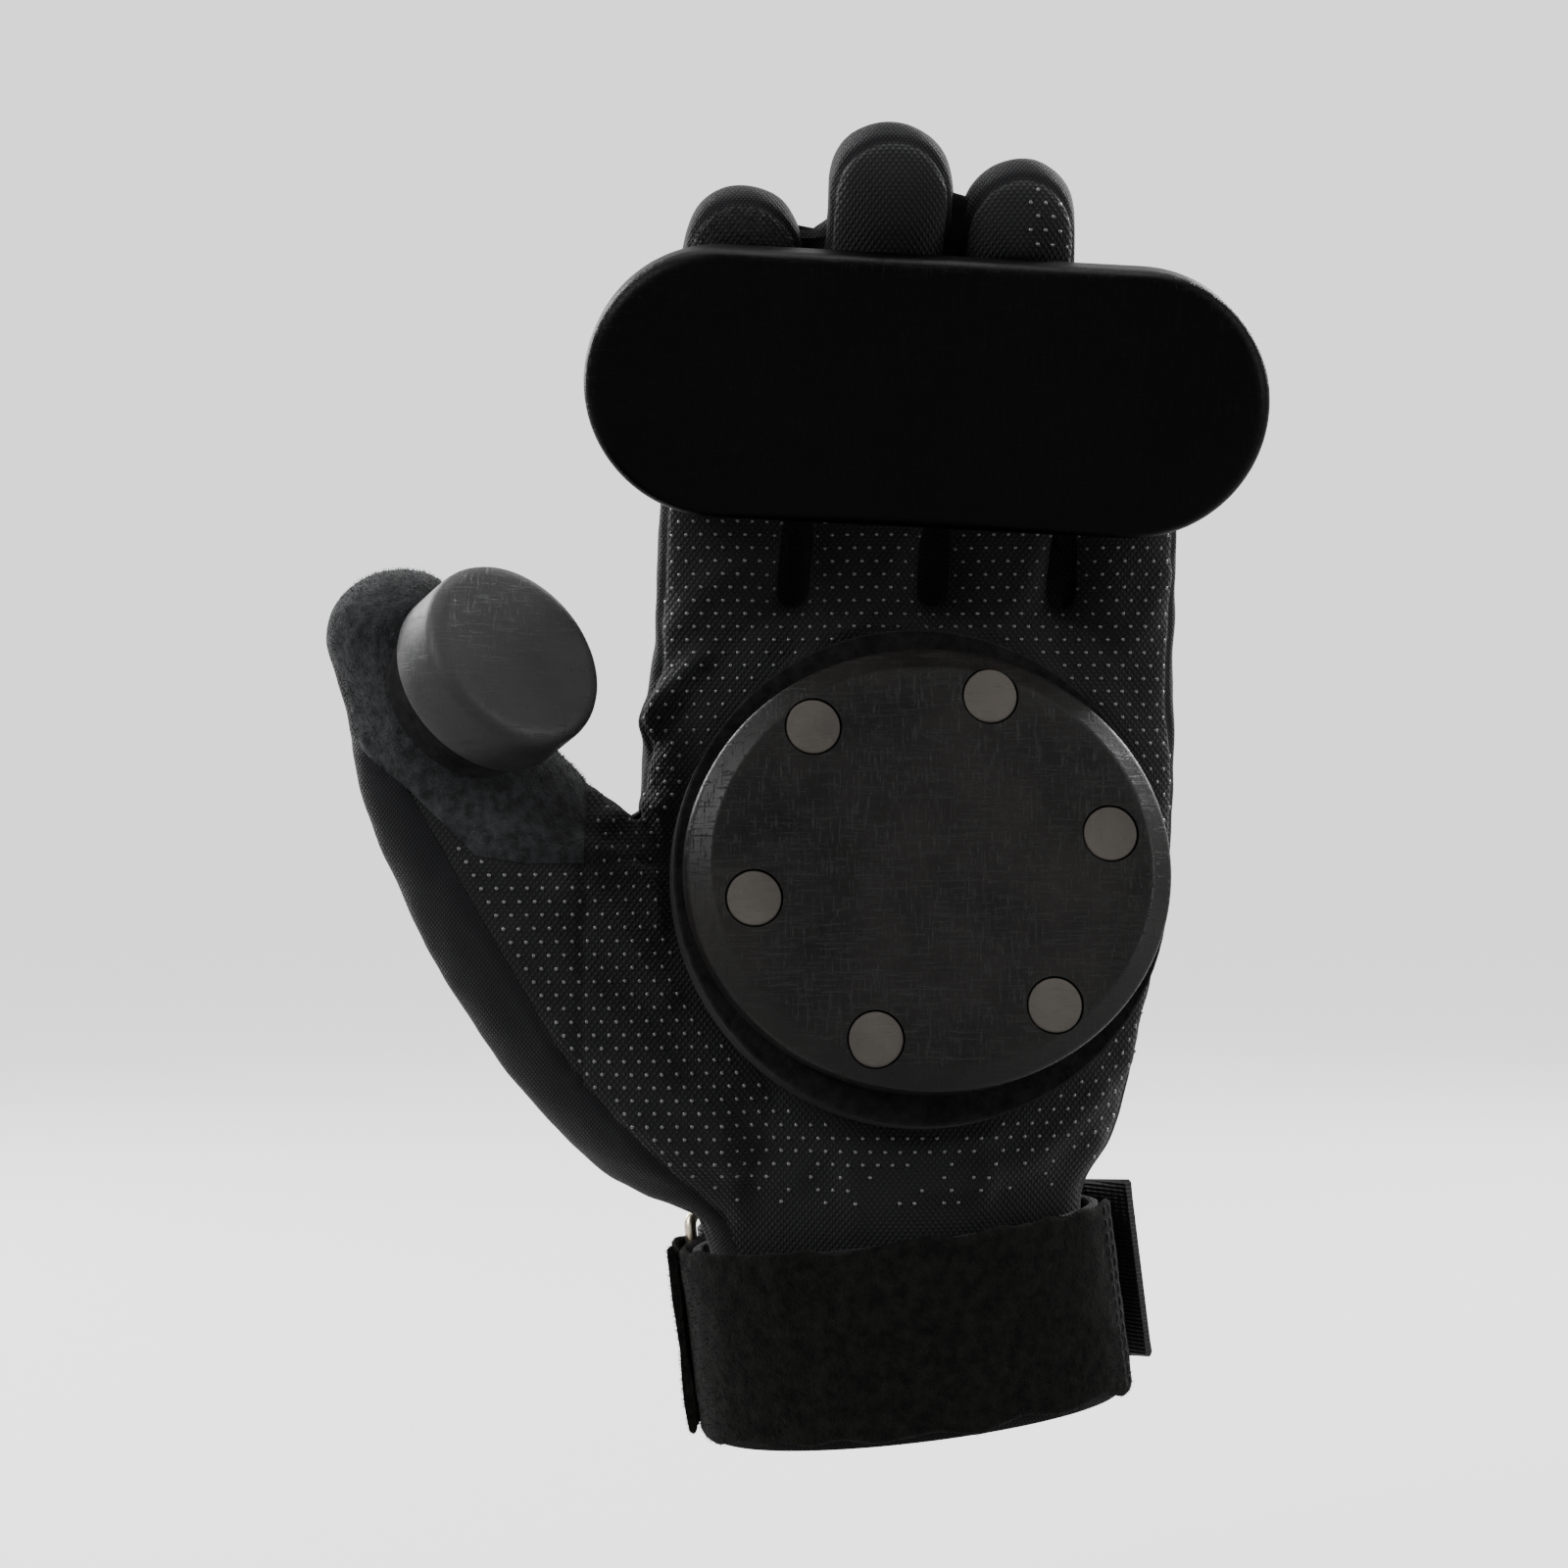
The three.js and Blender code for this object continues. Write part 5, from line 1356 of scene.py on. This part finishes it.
# place along the badge, and radius, in shares of its length and width
BADGE_DOTS = [(0.2, 0.085), (0.02, 0.11), (-0.2, 0.15)]
DOT_OVAL = (1.08, 0.86)
badge_top = GAP + BADGE_THICKNESS
for name, (x, z, width) in badge_places.items():
    line = spaced(shares(BADGE_OUTLINE, width, BADGE_LENGTH, x, z), 0.7, closed=True)
    profile = [(0, GAP), (0, badge_top - 0.3), (0.25, badge_top), (0.9, badge_top),
               (1.25, badge_top - 0.45), (1.6, badge_top - 0.45), (1.95, badge_top), (2.4, badge_top)]
    piece(f"tip_badge_{name}", crowned(line, (x, z - 1), profile, rings=6), trim_rubber,
          "trim_rubber", f"badge_{name}", smooth=40)
    for i, (along, share) in enumerate(BADGE_DOTS):
        radius = share * BADGE_WIDTH
        centre = (x, z + along * BADGE_LENGTH)
        oval = circle(radius, 28) * DOT_OVAL + centre
        low = badge_top + GAP * 0.3
        profile = [(0, low), (0, low + 0.4), (radius * 0.15, low + 0.7), (radius * 0.4, low + 0.95)]
        piece(f"badge_oval_{name}_{i + 1}", crowned(oval, centre, profile, rings=3),
              yellow_rubber, "yellow_inlay", f"badge_dot_{name}_{i + 1}")
print("badges", len(badge_places))

# %% [markdown]
# ## The wrist
# A padded roll lines the opening. A fleece band crosses the palm side, and a ribbed webbing strap
# the back; both pass round a metal loop at the thumb side. They are strips bent along a line seen
# from above, then leaned with the forearm.

# %% Lines round the wrist
BAND_HEIGHT, BAND_RAISE, BAND_START = 36.0, 1.5, 350
STRAP_HEIGHT, STRAP_THICKNESS, STRAP_RAISE = 35.0, 2.0, 4.0
STRAP_SEWN, STRAP_LEAVES, STRAP_END = 25, 35, 15.5
RING_WIRE, RING_SPAN, RING_TURN, LEG_CLEAR = 2.4, 9.0, 150, 7

cuff_inner = GAP * 2
cuff_outer = cuff_inner + CUFF_PADDING
inner_line = cuff_outer + GAP + STRAP_THICKNESS / 2
outer_line = inner_line + STRAP_THICKNESS + GAP
ring_line = inner_line + STRAP_THICKNESS / 2 + GAP + RING_WIRE / 2
ring_half_turn = math.degrees(RING_SPAN / (WRIST_WIDTH + ring_line * 2))
strap_leg, band_leg = RING_TURN - ring_half_turn, RING_TURN + ring_half_turn


def oval(grow, turn):
    """The wrist's oval, grown by so much, at angles in degrees."""
    turn = np.radians(turn)
    return np.column_stack([(WRIST_WIDTH / 2 + grow) * np.cos(turn),
                            (WRIST_DEPTH / 2 + grow) * np.sin(turn)])


def leaned(points):
    """The same points, leaned with the forearm."""
    angle = math.radians(WRIST_LEAN)
    x, y, z = np.asarray(points, float).T
    return np.column_stack([x * math.cos(angle) - z * math.sin(angle), y,
                            x * math.sin(angle) + z * math.cos(angle)])


def round_leg(turn, sign):
    """The line of a strip that turns back round a leg of the metal loop."""
    radius = RING_WIRE / 2 + GAP + STRAP_THICKNESS / 2
    centre = oval(ring_line, [turn])[0]
    angle = math.radians(turn)
    out = unit([math.cos(angle) * WRIST_DEPTH, math.sin(angle) * WRIST_WIDTH])
    along = np.array([-out[1], out[0]]) * sign
    bend = np.radians(np.linspace(0, 180, 13))
    points = centre - np.outer(radius * np.cos(bend), out) + np.outer(radius * np.sin(bend), along)
    return np.vstack([points, points[-1] - along * RING_WIRE])


band_back = np.linspace(band_leg + LEG_CLEAR * 2, band_leg + LEG_CLEAR * 4, 8)
band_line = np.vstack([oval(inner_line, np.linspace(BAND_START, band_leg + LEG_CLEAR, 70)),
                       round_leg(band_leg, -1), oval(outer_line, band_back)])
leave = math.radians(STRAP_LEAVES)
heading = unit([(WRIST_WIDTH / 2 + outer_line) * math.sin(leave),
                -(WRIST_DEPTH / 2 + outer_line) * math.cos(leave)])
strap_line = np.vstack([oval(inner_line, np.linspace(STRAP_SEWN, strap_leg - LEG_CLEAR, 50)),
                        round_leg(strap_leg, 1),
                        oval(outer_line, np.linspace(strap_leg - LEG_CLEAR * 2, STRAP_LEAVES, 45)),
                        oval(outer_line, [STRAP_LEAVES]) + heading * STRAP_END])


STRIP_EDGE = 0.35    # how far a strip's rounded edge reaches in, in shares of its thickness


def strip(line, thickness, bottom, height, rows, pattern=None, waver=0.0):
    """A strip of cloth along a line seen from above.

    pattern adds thickness at a run and a height, and waver lets both edges wander.
    """
    along = unit(np.gradient(line, axis=0))
    out = np.column_stack([-along[:, 1], along[:, 0]])
    run = run_along(line)
    edge = thickness * STRIP_EDGE
    levels = np.concatenate([[0, edge], np.linspace(edge, height - edge, rows)[1:-1],
                             [height - edge, height]])
    inset = np.where((levels <= 0) | (levels >= height), edge, 0)
    loops = []
    for place, normal, at in zip(line, out, run):
        extra = pattern(at, levels) if pattern else 0
        half = (thickness / 2 - inset + extra)[:, None]
        front = np.column_stack([place + normal * half, bottom + levels])
        back = np.column_stack([place - normal * half, bottom + levels])
        loop = np.vstack([front, back[::-1]])
        share = (loop[:, 2] - bottom) / height
        loop[:, 2] += waver * (share * noise.noise((at / 7, 0.3, 5.0))
                               + (1 - share) * noise.noise((at / 9, 0.7, 9.0)))
        loops.append(leaned(loop))
    return ringed(loops), run[-1]


# %% Strap, band, cuff
RIB_PITCH, RIB_HEIGHT, RIB_MARGIN = 1.7, 0.16, 1.2


def ribs(at, levels):
    """The webbing's ribs, which end short of its edges."""
    inside_edge = np.where((levels > RIB_MARGIN) & (levels < STRAP_HEIGHT - RIB_MARGIN), 1, 0)
    return (RIB_HEIGHT * abs(math.sin(math.pi * at / RIB_PITCH)) - RIB_HEIGHT) * inside_edge


strap_shape, strap_run = strip(spaced(strap_line, RIB_PITCH / 5), STRAP_THICKNESS, STRAP_RAISE,
                               STRAP_HEIGHT, 14, ribs)
wrist_strap = piece("wrist_strap", strap_shape, webbing, "webbing", "strap")
strap_run * MM


def nap(at, levels):
    """Small and wide lumps of the fleece band."""
    return np.array([0.2 * noise.noise((at / 4, level / 4, 1.7))
                     + 0.3 * noise.noise((at / 14, level / 11, 4.2)) - 0.2 for level in levels])


BAND_WAVER = 1.6
band_shape, band_run = strip(spaced(band_line, 0.9), STRAP_THICKNESS, BAND_RAISE, BAND_HEIGHT, 26,
                             nap, BAND_WAVER)
fleece_band = piece("fleece_band", band_shape, band_pile, "fleece", "wrist_band")
band_run * MM

CUFF_STEPS, CUFF_SIDES, CUFF_SQUARE, CUFF_FILL = 150, 28, 1.35, 0.7
GATHERS, GATHER_DEPTH = 24, 0.04
cuff_rings = []
angle = np.radians(np.linspace(0, 360, CUFF_SIDES, endpoint=False))
half = CUFF_PADDING / 2
straight = CUFF_HEIGHT / 2 - half
height = (CUFF_HEIGHT / 2 + straight * np.clip(CUFF_SQUARE * np.sin(angle), -1, 1)
          + half * np.sin(angle))
for turn in np.linspace(0, 360, CUFF_STEPS, endpoint=False):
    gather = 1 + GATHER_DEPTH * math.sin(math.radians(turn * GATHERS))
    grow = cuff_inner + half + half * np.cos(angle) * gather
    flat = np.vstack([oval(one, [turn]) for one in np.minimum(grow, cuff_outer)])
    cuff_rings.append(leaned(np.column_stack([flat, height])))
padded_cuff = piece("padded_cuff", ringed(cuff_rings, around=True), stretch_black, "knit", "cuff")
print("strap", round(strap_run), "mm, band", round(band_run), "mm long")

# %% Metal loop
low, high = BAND_RAISE - GAP, STRAP_RAISE + STRAP_HEIGHT + GAP
corners = []
for turn, z in ((band_leg, low), (band_leg, high), (RING_TURN, high + RING_WIRE), (strap_leg, high),
                (strap_leg, low), (RING_TURN, low - RING_WIRE)):
    corners.append((*oval(ring_line, [turn])[0], z))
ring_path = spaced(curve(corners, 16, closed=True, tension=0.2), 0.8, closed=True)
ring_along = unit(np.roll(ring_path, -1, 0) - np.roll(ring_path, 1, 0))
ring_out = unit([math.cos(math.radians(RING_TURN)) * WRIST_DEPTH,
                 math.sin(math.radians(RING_TURN)) * WRIST_WIDTH, 0])
ring_rings = []
for place, along in zip(ring_path, ring_along):
    out = unit(ring_out - along * (ring_out @ along))
    ring_rings.append(leaned(place + RING_WIRE / 2 * round_in(turns(16), out, np.cross(along, out))))
piece("metal_loop", ringed(ring_rings, around=True), ring_metal, "ring_metal", "strap_ring")
print("loop", len(ring_path), "rings")

# %% [markdown]
# ## Stitches
# Rows of thread hold the rubber to the cloth. A stitch is a short bead that dips at both ends;
# copies are set along a line by its direction and the surface's normal, then joined.

# %% Rows of stitches
# pitch, length and radius of each kind of stitch
PLATE_STITCH, TRIM_STITCH = (3.0, 2.3, 0.24), (2.1, 1.5, 0.17)
BAND_STITCH, STRAP_STITCH = (2.6, 2.0, 0.22), (2.6, 2.0, 0.2)
# place along a bead, thickness and dip, in shares of its length and radius
BEAD = [(-0.42, 0.75, -0.5), (-0.15, 1, 0), (0.15, 1, 0), (0.42, 0.75, -0.5)]
THREAD_SIDES = 6


def stitch_row(points, normals, pitch, length, radius, closed=False):
    """Places, directions and normals of the stitches along a line, with their sizes."""
    both = spaced(np.hstack([points, normals]), pitch, closed)
    places, outs = both[:, :3], unit(both[:, 3:])
    if closed:
        along = np.roll(places, -1, 0) - np.roll(places, 1, 0)
    else:
        along = np.gradient(places, axis=0)
    along = unit(along - outs * (along * outs).sum(1)[:, None])
    return [(place, way, out, length, radius) for place, way, out in zip(places, along, outs)]


def beads(name, rows):
    """All stitches of the rows as one mesh."""
    parts = []
    for place, along, out, length, radius in rows:
        around = round_in(turns(THREAD_SIDES), out, np.cross(along, out))
        rings = []
        for share, thick, dip in BEAD:
            centre = place + along * length * share + out * radius * dip
            rings.append(centre + radius * thick * around)
        start = place - along * length / 2 - out * radius * 1.2
        end = place + along * length / 2 - out * radius * 1.2
        parts.append(ringed(rings, start, end))
    return piece(name, joined(parts), thread, "trim_rubber")


def inset_line(outline, centre, inset):
    away = np.asarray(outline) - centre
    return centre + away * (1 - inset / np.linalg.norm(away, axis=1))[:, None]


def trim_row(line, height, stitch):
    """A closed row of stitches over the back, at a height over the cloth."""
    hits, outs = on_back(line)
    return stitch_row(hits + outs * height, outs, *stitch, closed=True)


plate_row = trim_row(inset_line(plate_line, plate_centre, STITCH_INSET), plate_top - 0.32, PLATE_STITCH)
plate_stitches = beads("plate_stitches", plate_row)
rows = []
for x, z, width in guard_places.values():
    line = inset_line(stadium(GUARD_LENGTH, width, 0.9)[:, ::-1], 0, 1.25) + (x, z)
    rows += trim_row(line, GAP + GUARD_THICKNESS - 0.22, TRIM_STITCH)
for x, z, width in badge_places.values():
    outline = spaced(shares(BADGE_OUTLINE, width, BADGE_LENGTH, x, z), 0.7, closed=True)
    rows += trim_row(inset_line(outline, (x, z - 1), 1.42), badge_top - 0.32, TRIM_STITCH)
trim_stitches = beads("trim_stitches", rows)


STRIP_POINTS = 20


def on_strip(line, at_mm, from_z, to_z, bottom, lift):
    """A vertical or slanting stitch line on a strip: run in millimetres at its two ends."""
    run = run_along(line)
    places = np.linspace(*at_mm, STRIP_POINTS)
    flat = np.column_stack([np.interp(places, run, line[:, k]) for k in range(2)])
    along = unit(np.gradient(line, axis=0))
    way = unit(np.column_stack([np.interp(places, run, along[:, k]) for k in range(2)]))
    out = np.column_stack([-way[:, 1], way[:, 0]])
    z = np.linspace(from_z, to_z, STRIP_POINTS) + bottom
    points = leaned(np.column_stack([flat + out * lift, z]))
    return points, leaned(np.column_stack([out, np.zeros(STRIP_POINTS)]))


# two upright rows at the band's end, and a box with a cross at the strap's end
rows = []
for at in (2.5, 5.0):
    line = on_strip(band_line, (at, at), 1.5, BAND_HEIGHT - 1.5, BAND_RAISE, 1.02)
    rows += stitch_row(*line, *BAND_STITCH)
box_left, box_right, box_low, box_high = strap_run - 26, strap_run - 3, 2, STRAP_HEIGHT - 2
for start, stop, low_z, high_z in (
        (box_right, box_right, box_low, box_high), (box_left, box_left, box_low, box_high),
        (box_left, box_right, box_low, box_high), (box_left, box_right, box_high, box_low),
        (box_left, box_right, box_low, box_low), (box_left, box_right, box_high, box_high)):
    line = on_strip(strap_line, (start, stop), low_z, high_z, STRAP_RAISE, STRAP_THICKNESS / 2)
    rows += stitch_row(*line, *STRAP_STITCH)
strap_stitches = beads("strap_stitches", rows)
for stitches in (plate_stitches, trim_stitches, strap_stitches):
    print(stitches.name, len(stitches.data.polygons), "faces")

# %% [markdown]
# ## Fleece fibres
# Loop fleece looks soft because its outline is broken by fine standing fibres. Thin bent spikes
# over the fleece give that edge; a bump alone would leave a clean outline.

# %% Fibres
def scatter(obj, count, wanted, seed):
    """Random places on the faces that the wanted function keeps, in millimetres."""
    mesh = obj.data
    mesh.calc_loop_triangles()
    corners = np.array([tri.vertices[:] for tri in mesh.loop_triangles])
    points = np.array([v.co[:] for v in mesh.vertices]) / MM
    a, b, c = points[corners[:, 0]], points[corners[:, 1]], points[corners[:, 2]]
    flat = np.cross(b - a, c - a)
    size = np.linalg.norm(flat, axis=1)
    keep = wanted((a + b + c) / 3, unit(flat))
    weight = size * keep
    rng = np.random.default_rng(seed)
    picked = rng.choice(len(corners), count, p=weight / weight.sum())
    u, v = rng.random(count), rng.random(count)
    over = u + v > 1
    u, v = np.where(over, 1 - u, u), np.where(over, 1 - v, v)
    places = a[picked] + (b - a)[picked] * u[:, None] + (c - a)[picked] * v[:, None]
    return places, unit(flat)[picked], rng


FIBRE_LENGTH, FIBRE_RADIUS = 0.75, 0.05
# each fibre is a bent spike: three points at its foot, three at its waist and one at its tip
FIBRE_FACES = [(0, 1, 4, 3), (1, 2, 5, 4), (2, 0, 3, 5), (3, 4, 6), (4, 5, 6), (5, 3, 6), (2, 1, 0)]


def fibres(name, obj, material, count, wanted, seed):
    """Many fibres on the faces of a piece that the wanted function keeps."""
    places, outs, rng = scatter(obj, count, wanted, seed)
    lean = unit(outs + rng.normal(0, 0.75, outs.shape))
    bend = unit(lean + rng.normal(0, 0.8, outs.shape))
    side, up = frames_on(lean)
    size = FIBRE_LENGTH * rng.uniform(0.5, 1.2, count)[:, None]
    middle_of = places + lean * size * 0.55
    tips = middle_of + bend * size * 0.55
    angle = np.radians([0, 120, 240])[None, :, None]
    around = (side[:, None] * np.cos(angle) + up[:, None] * np.sin(angle)) * FIBRE_RADIUS
    feet = places[:, None] - outs[:, None] * 0.1 + around
    waist = middle_of[:, None] + around * 0.7
    points = np.concatenate([feet, waist, tips[:, None]], axis=1).reshape(-1, 3)
    faces = [tuple(corner + i * 7 for corner in face) for i in range(count) for face in FIBRE_FACES]
    dress(put(name, points, faces, 60), material, "fleece")
    print(name, count, "fibres")


def on_band(centres, normals):
    """The band's outer side, which faces the palm or the thumb."""
    across = centres[:, :2] / (WRIST_WIDTH / 2 + inner_line, WRIST_DEPTH / 2 + inner_line)
    outside = np.hypot(across[:, 0], across[:, 1]) > 0.98
    return (normals[:, 1] < 0.3) & (centres[:, 2] < 44) & outside


def on_thumb(_centres, normals):
    """The thumb's front, without its inner side."""
    return normals @ thumb_section(THUMB_MIDDLE)[6:9] > -0.1


def on_tip(centres, normals):
    """The outer faces of the index fingertip's front, which is fleece too."""
    near = np.array([cloth_tree.find_nearest(Vector(place))[3] < 0.4 for place in centres.tolist()])
    return near & (normals[:, 1] < 0.1) & (centres[:, 2] > 205) & (centres[:, 0] < -21.5)


fibres("band_fibres", fleece_band, band_fibre, 14000, on_band, 11)
# the thumb's fibres are painted lighter, standing in for the light on the thumb
fibres("thumb_fibres", thumb_fleece, fibre, 9000, on_thumb, 12)
fibres("fingertip_fibres", palm_cloth, band_fibre, 4000, on_tip, 13)

# %% [markdown]
# ## Studio
# A pale floor well below the glove and a pale world give the plain light ground of the picture.
# Black cloth shows its form only by its highlights, so a soft lamp stands at the camera's upper
# left and a narrow one at its right. Two behind the glove and one above it edge the back.

# %% Floor, world and lamps
DAYLIGHT = 1.6
FLOOR_RADIUS, FLOOR_BOTTOM, FLOOR_TOP = 4000, -70.0, -60.0
floor_outline = circle(FLOOR_RADIUS, 96)
floor = put("floor", *ringed([np.insert(floor_outline, 2, level, axis=1)
                              for level in (FLOOR_BOTTOM, FLOOR_TOP)]))
floor_finish = Finish("pale floor", Roughness=1.0, Base_Color=grey(0.2), Specular_IOR_Level=0.0,
                      Emission_Color=grey(1), Emission_Strength=0.8 * DAYLIGHT)
floor.data.materials.append(floor_finish.material)

world = bpy.data.worlds.new("studio")
world.use_nodes = True
sky = world.node_tree.nodes["Background"].inputs
sky["Color"].default_value = grey(1)
sky["Strength"].default_value = DAYLIGHT
bpy.context.scene.world = world


# place, power and size of each lamp; all of them look at the glove's middle
GLOVE_MIDDLE = Vector((-0.02, 0, 0.12))
LAMPS = {
    "key": ((-0.9, -0.6, 0.8), 48, (0.6, 0.6)),
    "right": ((0.9, -0.35, 0.4), 18, (0.25, 0.9)),
    "back left": ((-0.8, 0.7, 0.6), 34, (0.35, 0.7)),
    "back right": ((0.7, 0.9, 0.7), 34, (0.4, 0.4)),
    "top": ((0, 0.1, 1.2), 18, (0.8, 0.5)),
}
for name, (place, power, size) in LAMPS.items():
    light = bpy.data.lights.new(name, "AREA")
    light.energy = power
    light.shape = "RECTANGLE"
    light.size, light.size_y = size
    lamp = bpy.data.objects.new(name, light)
    lamp.location = place
    lamp.rotation_euler = (GLOVE_MIDDLE - Vector(place)).to_track_quat("-Z", "Y").to_euler()
    bpy.context.collection.objects.link(lamp)
print("lamps", len(bpy.data.lights))
